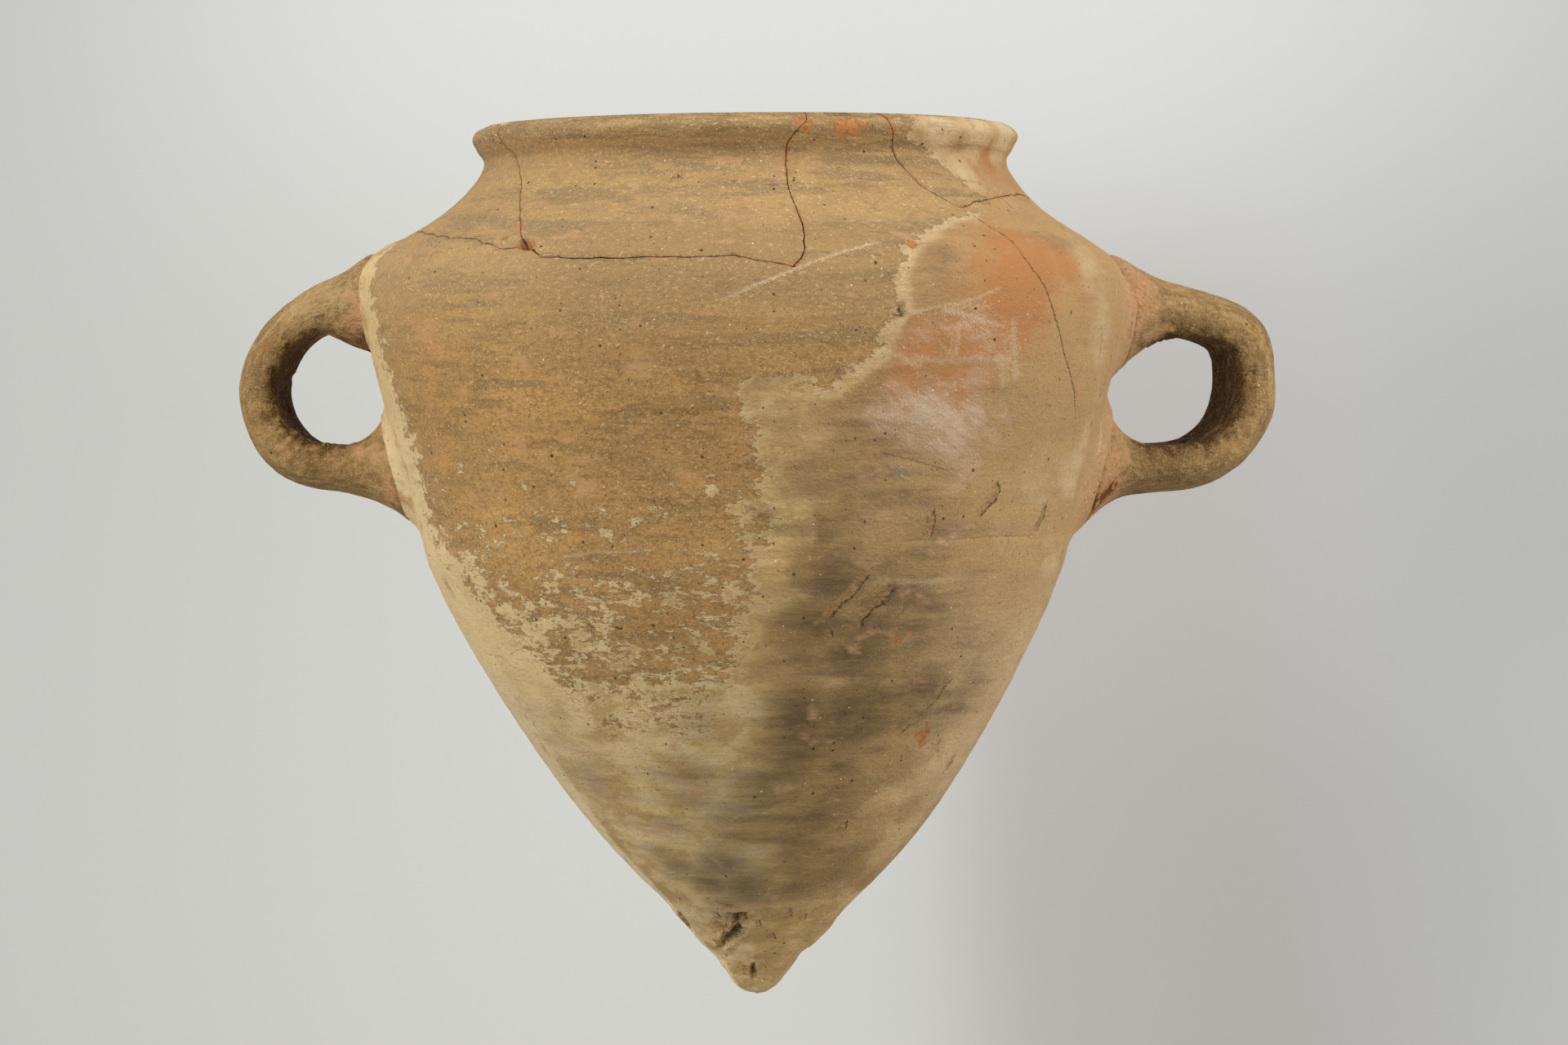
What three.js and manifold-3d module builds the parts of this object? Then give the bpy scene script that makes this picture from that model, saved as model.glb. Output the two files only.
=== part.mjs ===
// Amphoriskos: a small two-handled clay vessel with a pointed base.
// Units are millimetres and +Z is up. The origin is the tip of the toe, and -Y is the front.
// The vessel was thrown in two parts, a shoulder part and a cone, luted together at a seam.
// A lump of clay makes the toe and two pulled straps make the handles.
// Its rim broke into sherds, which are glued back. Every joint keeps a thin open line.
import * as THREE from 'three';
import { mergeVertices } from 'three/addons/utils/BufferGeometryUtils.js';
import Module from 'manifold-3d';

// Driving dimensions of the wheel-thrown wall
const totalHeight = 214;          // toe tip to the flat top of the lip
const lipRadius = 66.7;           // widest point of the rounded lip
const lipHeight = 9.4;            // lip top down to the crease under the lip
const lipFlatRadius = 63.4;       // outer edge of the flat ring on which the vessel dried upside down
const lipFlatWidth = 2.6;
const lipSlope = 1.6;             // the lip's inside falls this far before the wall turns down
const neckRadius = 63.9;          // crease under the lip
const bellyRadius = 92.6;         // greatest radius of the body
const bellyDrop = 43;             // lip top down to the greatest radius
const shoulderBulge = 5;          // the shoulder stands this far out from a straight line
const neckHollow = 1.7;           // and the neck above it this far in
const flankBulge = 1.6;           // swell of the wall between the seam and the belly
const seamHeight = 115;           // luted seam between the shoulder part and the cone
const seamRadius = 79.6;
const coneBulge = 8.6;            // the cone stands this far out from a straight line
const toeHeight = 12.4;           // top of the toe at its surface
const toeRadius = 14.3;
const wallAtLip = 5.6;            // wall thickness just under the lip
const wallAtSeam = 6.4;
const wallAtFloor = 9;            // the wall thickens towards the pointed floor
const floorHeight = 23;           // lowest point of the inside
const floorRadius = 4;            // rounding of that point
const lean = 3;                   // the shoulder part leans this far towards -X

// Joints
const jointGap = 0.3;             // open line at every glued, luted or seated joint
const seamBevel = 3;              // rise of the bevelled seam from its outside to its inside
const toeSocketRise = 5;          // rise of the domed toe into the end of the cone
const toeStep = 0.4;              // the toe's clay stands back this far under the cone
const toeDome = { radius: 0.6, rise: 0.75 };  // shoulder of that dome, as shares of its size

// Facets
const wallSides = 60;
const outerPointsPerSpan = 2;
const innerRings = 13;
const toeSides = 30;
const toeRings = 12;
const strapRings = 28;
const strapSides = 14;
const leastFacet = 1;             // no point comes closer than this to a corner of its profile

// Handles: pulled straps of a flattened oval section
const leftHandle = {
  turn: -100,                     // degrees from the front, positive towards +X
  reach: 121.6,                   // axis of the vessel to the outermost point of the strap's middle
  topHeight: 168,                 // middle of the upper arm
  bottomHeight: 129.6,            // middle of the lower arm
  thickness: 12,
  width: 24,
  rootThickness: 24.5,            // where the strap is smoothed onto the wall
  rootWidth: 37,
  rise: 2,                        // the upper arm climbs this far to its root
  cornerOut: 0.85,                // how far out the upper corner stands, as a share of the arm
  cornerDrop: 0.2,                // how far down it stands, as a share of the loop's height
};
const rightHandle = {
  turn: 105,
  reach: 130.4,
  topHeight: 168,
  bottomHeight: 129.8,
  thickness: 14,
  width: 26,
  rootThickness: 27,
  rootWidth: 40,
  rise: 1.5,
  cornerOut: 0.93,
  cornerDrop: 0.16,
};
const rootReach = 11;             // how far along the strap its root still swells
const rootBite = 9;               // how far the uncut strap runs on past the wall's surface

// Breaks through the upper wall, as degrees from the front and as shares of the way from the
// lip top down to the belly. The first four show at the front, and the last three close them
// round the back.
const aboveLip = -0.14;
const leftBreak = [[-61.5, aboveLip], [-61.5, 0.047], [-57.2, 0.223], [-52.9, 0.319],
  [-47.1, 0.451], [-39.8, 0.598], [-36, 0.684], [-34, 0.721]];
const ringBreak = [[-75.4, 0.607], [-55.7, 0.653], [-45.9, 0.679], [-38.4, 0.733], [-34, 0.721],
  [-31, 0.774], [-23.5, 0.798], [-15.4, 0.788], [-0.9, 0.781], [7.6, 0.837]];
const middleBreak = [[13.8, aboveLip], [13.5, 0.023], [9.2, 0.172], [8.9, 0.407], [10.1, 0.612],
  [9.1, 0.765], [7.6, 0.837]];
const rightBreak = [[30.9, aboveLip], [30.9, 0.009], [32.8, 0.184], [37.7, 0.386], [43.3, 0.509],
  [48.7, 0.472], [63.2, 0.421], [72.9, 0.412]];
const backLeftBreak = [[-75.4, 0.607], [-100, 0.547], [-128, 0.586], [-150, 0.526],
  [-168, 0.553]];
const backRightBreak = [[72.9, 0.412], [104, 0.44], [135, 0.5], [162, 0.481], [192, 0.553]];
const rearBreak = [[176, aboveLip], [176.8, 0.07], [181, 0.242], [179, 0.372], [184.5, 0.533]];
const breakStep = 5;              // degrees between the points of a break's path

const clay = { roughness: 0.85, metalness: 0 };
const clayColours = {
  worn: '#a07c4c',
  buff: '#a58f5f',
  orange: '#b0764a',
  toe: '#93794c',
};

const lipTop = totalHeight;
const creaseHeight = lipTop - lipHeight;
const bellyHeight = lipTop - bellyDrop;
const lipOverhang = lipRadius - neckRadius;

// A point between two [radius, height] points, set off outwards by a bulge
function between(from, to, share, bulge = 0) {
  return new THREE.Vector2(
    THREE.MathUtils.lerp(from[0], to[0], share) + bulge,
    THREE.MathUtils.lerp(from[1], to[1], share),
  );
}

// Outside of the wall from the toe up to the flat ring on the lip
function outerCurve() {
  const toe = [toeRadius, toeHeight];
  const seam = [seamRadius, seamHeight];
  const belly = [bellyRadius, bellyHeight];
  const crease = [neckRadius, creaseHeight];
  return new THREE.SplineCurve([
    between(toe, toe, 0),
    between(toe, seam, 0.115, 0.33 * coneBulge),
    between(toe, seam, 0.313, 0.9 * coneBulge),
    between(toe, seam, 0.55, coneBulge),
    between(toe, seam, 0.749, 0.81 * coneBulge),
    between(toe, seam, 0.864, 0.57 * coneBulge),
    between(toe, seam, 0.937, 0.34 * coneBulge),
    between(seam, belly, 0.04, 0.12 * flankBulge),
    between(seam, belly, 0.346, 0.37 * flankBulge),
    between(seam, belly, 0.625, flankBulge),
    between(seam, belly, 0.82, 0.81 * flankBulge),
    between(belly, belly, 0),
    between(belly, crease, 0.232, shoulderBulge),
    between(belly, crease, 0.39, 0.98 * shoulderBulge),
    between(belly, crease, 0.634, -0.35 * neckHollow),
    between(belly, crease, 0.842, -neckHollow),
    between(crease, crease, 0),
    new THREE.Vector2(neckRadius + 0.5 * lipOverhang, creaseHeight + 0.3 * lipHeight),
    new THREE.Vector2(lipRadius, creaseHeight + 0.62 * lipHeight),
    new THREE.Vector2(lipRadius - 0.29 * lipOverhang, creaseHeight + 0.84 * lipHeight),
    new THREE.Vector2(lipFlatRadius, lipTop),
  ]);
}

const outer = outerCurve();
const outerSpans = outer.points.length - 1;
const outerPoints = outer.getPoints(outerSpans * outerPointsPerSpan);

// Share of the outside curve at which it passes a height
function shareAtHeight(height) {
  const halvings = 30;
  let low = 0;
  let high = 1;
  for (let step = 0; step < halvings; step += 1) {
    const middle = (low + high) / 2;
    if (outer.getPoint(middle).y < height) low = middle;
    else high = middle;
  }
  return low;
}

function radiusAtHeight(height) {
  return outer.getPoint(shareAtHeight(height)).x;
}

// Wall thickness, measured square to the wall
function wallAtHeight(height) {
  if (height > seamHeight) {
    const share = Math.min((height - seamHeight) / (creaseHeight - seamHeight), 1);
    return THREE.MathUtils.lerp(wallAtSeam, wallAtLip, share);
  }
  const share = (height - toeHeight) / (seamHeight - toeHeight);
  return THREE.MathUtils.lerp(wallAtFloor, wallAtSeam, share);
}

// The outside moved square to itself: inwards for a positive distance
function movedPoint(share, distance) {
  const point = outer.getPoint(share);
  const along = outer.getTangent(share);
  return new THREE.Vector2(point.x - distance * along.y, point.y + distance * along.x);
}

function innerPoint(share) {
  return movedPoint(share, wallAtHeight(outer.getPoint(share).y));
}

// Inside of the wall, from a low share of the outside curve up to a high one
function innerPoints(fromShare, toShare, rings) {
  const points = [];
  for (let ring = 0; ring <= rings; ring += 1) {
    points.push(innerPoint(THREE.MathUtils.lerp(fromShare, toShare, ring / rings)));
  }
  return points;
}

// The throwing axis drifts sideways above the cone, so the shoulder stands off centre
function leanAtHeight(height) {
  const start = 0.26 * seamHeight;
  const end = 1.06 * seamHeight;
  return -lean * THREE.MathUtils.smoothstep(height, start, end) + 0.13 * lean;
}

// Closed body from a profile turned about the axis: shared corners merged, empty facets dropped
function turned(profile, sides = wallSides) {
  const geometry = new THREE.LatheGeometry(profile, sides);
  geometry.rotateX(Math.PI / 2);
  const place = geometry.attributes.position;
  for (let i = 0; i < place.count; i += 1) {
    place.setX(i, place.getX(i) + leanAtHeight(place.getZ(i)));
  }
  return closedGeometry(geometry);
}

function closedGeometry(geometry) {
  geometry.deleteAttribute('normal');
  geometry.deleteAttribute('uv');
  const merged = mergeVertices(geometry, 1e-3);
  const corners = merged.index.array;
  const kept = [];
  for (let i = 0; i < corners.length; i += 3) {
    const [a, b, c] = corners.slice(i, i + 3);
    if (a !== b && b !== c && c !== a) kept.push(a, b, c);
  }
  merged.setIndex(kept);
  return merged;
}

const wasm = await Module();
wasm.setup();

function solid(geometry) {
  return new wasm.Manifold(new wasm.Mesh({
    numProp: 3,
    vertProperties: Float32Array.from(geometry.attributes.position.array),
    triVerts: Uint32Array.from(geometry.index.array),
  }));
}

function geometryOf(body) {
  const mesh = body.getMesh();
  const geometry = new THREE.BufferGeometry();
  geometry.setAttribute('position', new THREE.BufferAttribute(mesh.vertProperties, 3));
  geometry.setIndex(new THREE.BufferAttribute(mesh.triVerts, 1));
  return geometry;
}

// A tube from rings of points that all have the same count, closed by a fan at each end.
// Opposite sides are split along matching diagonals, so a thin twisted sheet stays whole.
function lofted(rings) {
  const sides = rings[0].length;
  const points = rings.flat();
  const faces = [];
  for (let ring = 0; ring + 1 < rings.length; ring += 1) {
    for (let side = 0; side < sides; side += 1) {
      const a = ring * sides + side;
      const b = ring * sides + (side + 1) % sides;
      if (side < sides / 2) faces.push(a, b, b + sides, a, b + sides, a + sides);
      else faces.push(a, b, a + sides, b, b + sides, a + sides);
    }
  }
  const last = points.length - sides;
  for (let side = 1; side + 1 < sides; side += 1) {
    faces.push(0, side + 1, side);
    faces.push(last, last + side, last + side + 1);
  }
  const geometry = new THREE.BufferGeometry().setFromPoints(points);
  geometry.setIndex(faces);
  return geometry;
}

// A break's path as degrees and heights, with a point every few degrees
function closePath(path) {
  const points = [];
  for (let i = 0; i + 1 < path.length; i += 1) {
    const [turnA, shareA] = path[i];
    const [turnB, shareB] = path[i + 1];
    const steps = Math.max(1, Math.ceil(Math.abs(turnB - turnA) / breakStep));
    for (let step = 0; step < steps; step += 1) {
      const way = step / steps;
      points.push([
        THREE.MathUtils.lerp(turnA, turnB, way),
        THREE.MathUtils.lerp(shareA, shareB, way),
      ]);
    }
  }
  points.push(path[path.length - 1]);
  return points.map(([turn, share]) => [turn, lipTop - share * bellyDrop]);
}

function pointOnTurn(turn, radius, height) {
  const angle = THREE.MathUtils.degToRad(turn);
  return new THREE.Vector3(
    leanAtHeight(height) + radius * Math.sin(angle),
    -radius * Math.cos(angle),
    height,
  );
}

// A thin radial sheet along a break, one joint gap thick, from inside the hollow to outside
function breakSheet(path) {
  const innerRadius = neckRadius - 2.5 * wallAtLip;
  const outerRadius = bellyRadius + wallAtLip;
  const degreeLength = THREE.MathUtils.degToRad(neckRadius);
  const points = closePath(path);
  const half = jointGap / 2;
  const overrun = 0.1;
  const rings = points.map(([turn, middle], i) => {
    const before = points[Math.max(i - 1, 0)];
    const after = points[Math.min(i + 1, points.length - 1)];
    const along = new THREE.Vector2(
      (after[0] - before[0]) * degreeLength,
      after[1] - before[1],
    ).normalize();
    let end = 0;
    if (i === 0) end = -overrun;
    if (i === points.length - 1) end = overrun;
    const height = middle + end * along.y;
    const centre = turn + end * along.x / degreeLength;
    const sideTurn = -half * along.y / degreeLength;
    const sideHeight = half * along.x;
    return [
      pointOnTurn(centre + sideTurn, innerRadius, height + sideHeight),
      pointOnTurn(centre - sideTurn, innerRadius, height - sideHeight),
      pointOnTurn(centre - sideTurn, outerRadius, height - sideHeight),
      pointOnTurn(centre + sideTurn, outerRadius, height + sideHeight),
    ];
  });
  return outward(lofted(rings));
}

// Turns every facet round where the body came out inside out
function outward(geometry) {
  const place = geometry.attributes.position;
  const corners = Array.from(geometry.index.array);
  const [a, b, c] = [new THREE.Vector3(), new THREE.Vector3(), new THREE.Vector3()];
  let volume = 0;
  for (let i = 0; i < corners.length; i += 3) {
    a.fromBufferAttribute(place, corners[i]);
    b.fromBufferAttribute(place, corners[i + 1]);
    c.fromBufferAttribute(place, corners[i + 2]);
    volume += a.dot(b.cross(c));
  }
  if (volume < 0) corners.reverse();
  geometry.setIndex(corners);
  return geometry;
}

// Solid of the vessel's outside with its hollow filled, grown by a clearance
function filledOutside(clearance) {
  const steps = outerSpans * outerPointsPerSpan;
  const points = [];
  for (let step = 0; step <= steps; step += 1) points.push(movedPoint(step / steps, -clearance));
  points.unshift(new THREE.Vector2(0, points[0].y));
  points.push(new THREE.Vector2(0, points[points.length - 1].y));
  return solid(turned(points));
}

// Middle line of a strap in its own plane, as [radius, height], from upper root to lower root
function strapMiddle(size) {
  const { reach, topHeight, bottomHeight, rise, cornerOut, cornerDrop } = size;
  const span = topHeight - bottomHeight;
  const upperRoot = radiusAtHeight(topHeight + rise);
  const lowerRoot = radiusAtHeight(bottomHeight);
  const upperOut = reach - upperRoot;
  const lowerOut = reach - lowerRoot;
  return new THREE.CatmullRomCurve3([
    [upperRoot - rootBite, topHeight + rise],
    [upperRoot + 0.1 * upperOut, topHeight + 0.6 * rise],
    [upperRoot + 0.5 * upperOut, topHeight],
    [upperRoot + cornerOut * upperOut, topHeight - cornerDrop * span],
    [reach, topHeight - 0.48 * span],
    [lowerRoot + 0.93 * lowerOut, bottomHeight + 0.24 * span],
    [lowerRoot + 0.74 * lowerOut, bottomHeight + 0.05 * span],
    [lowerRoot + 0.42 * lowerOut, bottomHeight],
    [lowerRoot - rootBite, bottomHeight + 0.04 * span],
  ].map(([radius, height]) => new THREE.Vector3(radius, 0, height)));
}

// Strap: an oval section carried along its middle line, swelling where it meets the wall
function strap(size) {
  const middle = strapMiddle(size);
  const length = middle.getLength();
  const side = new THREE.Vector3(0, 1, 0);
  const turnAngle = THREE.MathUtils.degToRad(size.turn - 90);
  const rings = [];
  for (let ring = 0; ring <= strapRings; ring += 1) {
    const share = ring / strapRings;
    const point = middle.getPointAt(share);
    const along = middle.getTangentAt(share);
    const out = new THREE.Vector3().crossVectors(side, along);
    const fromRoot = Math.max(0, Math.min(share, 1 - share) * length - rootBite);
    const swell = Math.exp(-((fromRoot / rootReach) ** 2));
    const halfThick = THREE.MathUtils.lerp(size.thickness, size.rootThickness, swell) / 2;
    const halfWide = THREE.MathUtils.lerp(size.width, size.rootWidth, swell) / 2;
    const section = [];
    for (let i = 0; i < strapSides; i += 1) {
      const angle = (2 * Math.PI * i) / strapSides;
      const corner = point.clone();
      corner.addScaledVector(out, halfThick * Math.cos(angle));
      corner.addScaledVector(side, halfWide * Math.sin(angle));
      corner.applyAxisAngle(new THREE.Vector3(0, 0, 1), turnAngle);
      corner.x += leanAtHeight(corner.z);
      section.push(corner);
    }
    rings.push(section);
  }
  return solid(outward(lofted(rings)));
}

function handle(size) {
  return geometryOf(strap(size).subtract(filledOutside(jointGap)));
}

// The seam is a bevel that rises inwards, so the shoulder part sits in the cone's rim
const seamOuter = new THREE.Vector2(radiusAtHeight(seamHeight), seamHeight);
const seamInner = innerPoint(shareAtHeight(seamHeight + seamBevel));

function upperWall() {
  const start = shareAtHeight(seamHeight + jointGap);
  const top = shareAtHeight(creaseHeight);
  const outside = outerPoints.filter((point) => point.y > seamHeight + 2 * jointGap);
  const innerStart = new THREE.Vector2(seamInner.x, seamInner.y + jointGap);
  const inside = innerPoints(start, top, innerRings)
    .filter((point) => point.y > innerStart.y + leastFacet);
  const lipInner = lipFlatRadius - lipFlatWidth;
  const mouth = inside[inside.length - 1].x;
  const lipInside = new THREE.Vector2(THREE.MathUtils.lerp(mouth, lipInner, 0.25), lipTop - lipSlope);
  return solid(turned([
    outer.getPoint(start),
    ...outside,
    new THREE.Vector2(lipInner, lipTop),
    lipInside,
    ...inside.reverse(),
    innerStart,
    outer.getPoint(start),
  ]));
}

function lowerCone() {
  const start = toeHeight + jointGap;
  const outside = outerPoints
    .filter((point) => point.y > start + jointGap && point.y < seamHeight - leastFacet);
  const inside = innerPoints(0, shareAtHeight(seamHeight), innerRings)
    .filter((point) => point.y > floorHeight + leastFacet && point.x > floorRadius)
    .filter((point) => point.y < seamInner.y - leastFacet);
  return turned([
    new THREE.Vector2(0, start + toeSocketRise),
    new THREE.Vector2(toeDome.radius * toeRadius, start + toeDome.rise * toeSocketRise),
    new THREE.Vector2(radiusAtHeight(start), start),
    ...outside,
    seamOuter,
    new THREE.Vector2(seamInner.x, seamInner.y),
    ...inside.reverse(),
    new THREE.Vector2(0, floorHeight),
  ]);
}

// Toe: a lump of clay with a rounded tip, domed on top into the end of the cone
function toeKnob() {
  const flank = new THREE.SplineCurve([
    new THREE.Vector2(0, 0),
    new THREE.Vector2(0.34 * toeRadius, 0.1 * toeHeight),
    new THREE.Vector2(0.57 * toeRadius, 0.4 * toeHeight),
    new THREE.Vector2(0.8 * toeRadius, 0.79 * toeHeight),
    new THREE.Vector2(toeRadius - toeStep, toeHeight - jointGap),
  ]);
  return turned([
    ...flank.getPoints(toeRings),
    new THREE.Vector2(toeDome.radius * toeRadius, toeHeight + toeDome.rise * toeSocketRise),
    new THREE.Vector2(0, toeHeight + toeSocketRise),
  ], toeSides);
}

// The piece among several that comes closest to a named spot on the lip or wall
function pieceAt(pieces, spot) {
  const reach = pieces.map((piece) => {
    const corners = piece.getMesh().vertProperties;
    let nearest = Infinity;
    for (let i = 0; i < corners.length; i += 3) {
      const corner = new THREE.Vector3(corners[i], corners[i + 1], corners[i + 2]);
      nearest = Math.min(nearest, corner.distanceTo(spot));
    }
    return nearest;
  });
  return pieces[reach.indexOf(Math.min(...reach))];
}

const breaks = [leftBreak, ringBreak, middleBreak, rightBreak, backLeftBreak, backRightBreak,
  rearBreak];
let brokenWall = upperWall();
for (const path of breaks) brokenWall = brokenWall.subtract(solid(breakSheet(path)));
const wallPieces = brokenWall.decompose();

// A spot on the lip half way between two breaks, from the degrees at which they cross the lip
function lipSpot(fromTurn, toTurn) {
  return pointOnTurn((fromTurn + toTurn) / 2, lipFlatRadius, lipTop);
}

const [[leftTurn], [middleTurn], [rightTurn], [rearTurn]] = [leftBreak[0], middleBreak[0],
  rightBreak[0], rearBreak[0]];
const sherds = {
  rim_sherd_left: lipSpot(rearTurn - 360, leftTurn),
  rim_sherd_front: lipSpot(leftTurn, middleTurn),
  rim_sherd_right: lipSpot(rightTurn, rearTurn),
};

const vessel = new THREE.Group();

function add(name, geometry, colour) {
  const material = new THREE.MeshStandardMaterial({ color: colour, ...clay });
  const mesh = new THREE.Mesh(geometry, material);
  mesh.name = name;
  vessel.add(mesh);
}

const wallSpot = pointOnTurn(0, radiusAtHeight(seamHeight + 1), seamHeight + 1);
add('body_wall', geometryOf(pieceAt(wallPieces, wallSpot)), clayColours.orange);
for (const [name, spot] of Object.entries(sherds)) {
  add(name, geometryOf(pieceAt(wallPieces, spot)), clayColours.worn);
}
add('lower_cone', lowerCone(), clayColours.buff);
add('toe_knob', toeKnob(), clayColours.toe);
add('handle_left', handle(leftHandle), clayColours.buff);
add('handle_right', handle(rightHandle), clayColours.buff);

export default vessel;
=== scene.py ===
import math

import bpy
import numpy as np
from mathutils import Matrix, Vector


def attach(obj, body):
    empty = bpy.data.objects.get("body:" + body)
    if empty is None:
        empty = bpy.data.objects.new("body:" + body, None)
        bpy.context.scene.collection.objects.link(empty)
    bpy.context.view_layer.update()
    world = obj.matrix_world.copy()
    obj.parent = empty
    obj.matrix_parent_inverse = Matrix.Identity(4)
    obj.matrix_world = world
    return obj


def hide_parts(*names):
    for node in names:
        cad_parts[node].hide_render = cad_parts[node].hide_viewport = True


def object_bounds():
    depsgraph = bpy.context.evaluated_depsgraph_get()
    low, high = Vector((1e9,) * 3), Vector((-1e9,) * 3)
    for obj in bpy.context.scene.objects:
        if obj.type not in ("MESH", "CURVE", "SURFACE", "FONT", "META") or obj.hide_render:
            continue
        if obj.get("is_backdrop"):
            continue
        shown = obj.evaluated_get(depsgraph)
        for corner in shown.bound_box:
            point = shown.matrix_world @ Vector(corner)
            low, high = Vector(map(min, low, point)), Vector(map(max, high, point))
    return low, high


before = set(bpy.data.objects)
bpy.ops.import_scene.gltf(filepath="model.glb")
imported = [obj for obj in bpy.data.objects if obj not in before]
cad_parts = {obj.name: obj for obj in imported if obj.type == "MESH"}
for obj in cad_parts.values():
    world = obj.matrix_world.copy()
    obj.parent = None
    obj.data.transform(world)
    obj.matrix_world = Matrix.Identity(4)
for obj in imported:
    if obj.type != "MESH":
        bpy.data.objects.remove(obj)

# Shapes are worked out in millimetres, and put into metres as they become meshes
MM = 0.001
cad_low, cad_high = (np.array(corner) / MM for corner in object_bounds())

# Wheel-thrown wall
TOTAL_HEIGHT = 214.0
LIP_RADIUS = 66.7
LIP_HEIGHT = 9.4
LIP_FLAT_RADIUS = 63.4
LIP_FLAT_WIDTH = 2.6
LIP_SLOPE = 1.6
NECK_RADIUS = 63.9
BELLY_RADIUS = 92.6
BELLY_DROP = 43.0
SHOULDER_BULGE = 5.0
NECK_HOLLOW = 1.7
FLANK_BULGE = 1.6
SEAM_HEIGHT = 115.0
SEAM_RADIUS = 79.6
SEAM_BEVEL = 3.0
CONE_BULGE = 8.6
TOE_HEIGHT = 12.4
TOE_RADIUS = 14.3
WALL_AT_LIP = 5.6
WALL_AT_SEAM = 6.4
WALL_AT_FLOOR = 9.0
FLOOR_HEIGHT = 23.0
LEAN = 3.0
RIM_SAG = 1.0                # the lip dips this far at its left
GLUE_LINE = 0.10             # half the open line at a glued break
LUTED_LINE = 0.3             # open line between the toe and the cone
TOE_DOME = 5.0               # rise of the domed toe into the end of the cone

CREASE_HEIGHT = TOTAL_HEIGHT - LIP_HEIGHT
BELLY_HEIGHT = TOTAL_HEIGHT - BELLY_DROP

# Strap handles
LEFT_HANDLE = {
    "turn": -100, "reach": 121.6, "top": 168, "bottom": 129.6, "thickness": 12, "width": 24,
    "root_thickness": 23, "root_width": 34, "rise": 2, "corner_out": 0.85, "corner_drop": 0.2,
    "fillet": 12, "upper_fillet": 5, "top_fillet": 0.7, "blush": 0.45,
}
RIGHT_HANDLE = {
    "turn": 105, "reach": 130.4, "top": 168, "bottom": 129.8, "thickness": 14, "width": 26,
    "root_thickness": 25.5, "root_width": 37, "rise": 1.5, "corner_out": 0.93, "corner_drop": 0.16,
    "fillet": 17, "upper_fillet": 15, "top_fillet": 0.3, "blush": 0.8,
}
ROOT_REACH = 11.0            # how far along the strap its root still swells
ROOT_DEPTH = 3.0             # how deep the strap's end sits in the wall

# Breaks through the upper wall, as degrees from the front and shares of the drop to the belly
LEFT_BREAK = [(-61.5, -0.14), (-61.5, 0.047), (-57.2, 0.223), (-52.9, 0.319), (-47.1, 0.451),
              (-39.8, 0.598), (-36, 0.684), (-34, 0.721)]
MIDDLE_BREAK = [(13.8, -0.14), (13.5, 0.023), (9.2, 0.172), (8.9, 0.407), (10.1, 0.612),
                (9.1, 0.765), (7.6, 0.837)]
RIGHT_BREAK = [(30.9, -0.14), (30.9, 0.009), (32.8, 0.184), (37.7, 0.386), (43.3, 0.509)]
REAR_BREAK = [(176, -0.14), (176.8, 0.07), (181, 0.242), (179, 0.372), (184.5, 0.535)]
RING_BREAK = [(-175.5, 0.535), (-168, 0.553), (-150, 0.526), (-128, 0.586), (-100, 0.547),
              (-75.4, 0.607), (-55.7, 0.653), (-45.9, 0.679), (-38.4, 0.733), (-34, 0.721),
              (-31, 0.774), (-23.5, 0.798), (-15.4, 0.788), (-0.9, 0.781), (7.6, 0.837),
              (43.3, 0.509), (48.7, 0.472), (63.2, 0.421), (72.9, 0.412), (104, 0.44),
              (135, 0.5), (162, 0.481), (184.5, 0.535)]

# Faces of a piece take one of these finishes, in this order
OUTSIDE, INSIDE, BROKEN = 0, 1, 2
FAR = 1e9                    # a distance that nothing lies at

# Rows and columns of the pieces' grids
RIM_ROWS = 46
WALL_ROWS = 90
WALL_INNER_ROWS = 34
CONE_ROWS = 128
CONE_INNER_ROWS = 24
CONE_COLUMNS = 600
TOE_COLUMNS = 180
STRAP_RINGS = 190
STRAP_SIDES = 110
STRAP_SECTIONS = 90          # enough of them to measure a distance to a strap


# Numbers and noise

def smoothstep(value, low, high):
    """0 below low, 1 above high, and an S-shaped rise between."""
    share = np.clip((value - low) / (high - low), 0, 1)
    return share * share * (3 - 2 * share)


def blend(first, second, share):
    """From the first value to the second, by a share from 0 to 1."""
    return first + (second - first) * share


def bell(value):
    """1 at nothing, and falling to nothing on both sides: exp(-value squared)."""
    return np.exp(-value ** 2)


def off_ends(way, low, high):
    """0 at both ends of a line, where way is 0 and 1, and 1 between, with soft steps."""
    return smoothstep(np.minimum(way, 1 - way), low, high)


def turned(points, degrees):
    """Points turned about the vertical axis, anticlockwise from above."""
    angle = math.radians(degrees)
    x, y, z = np.moveaxis(points, -1, 0)
    return np.stack([x * math.cos(angle) - y * math.sin(angle),
                     x * math.sin(angle) + y * math.cos(angle), z], axis=-1)


def lattice(i, j, k, seed):
    """A fixed number from 0 to 1 for each whole-number cell, by mixing its coordinates' bits."""
    mixed = (i * 374761393 + j * 668265263 + k * 1274126177 + seed * 97471139) & 0xFFFFFFFF
    mixed = ((mixed ^ (mixed >> 13)) * 1274126177) & 0xFFFFFFFF
    return (mixed ^ (mixed >> 16)) / 0xFFFFFFFF


def noise(points, size, seed):
    """Value noise from -1 to 1: the lattice's numbers at a cell's 8 corners, blended smoothly.
    The size, in mm, may differ along x, y and z."""
    place = points / size
    cell = np.floor(place).astype(np.int64)
    part = place - cell
    part = part * part * (3 - 2 * part)
    total = np.zeros(len(points))
    for corner in np.ndindex(2, 2, 2):
        share = np.where(corner, part, 1 - part).prod(axis=1)
        total += share * lattice(*(cell + corner).T, seed)
    return 2 * total - 1


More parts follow.
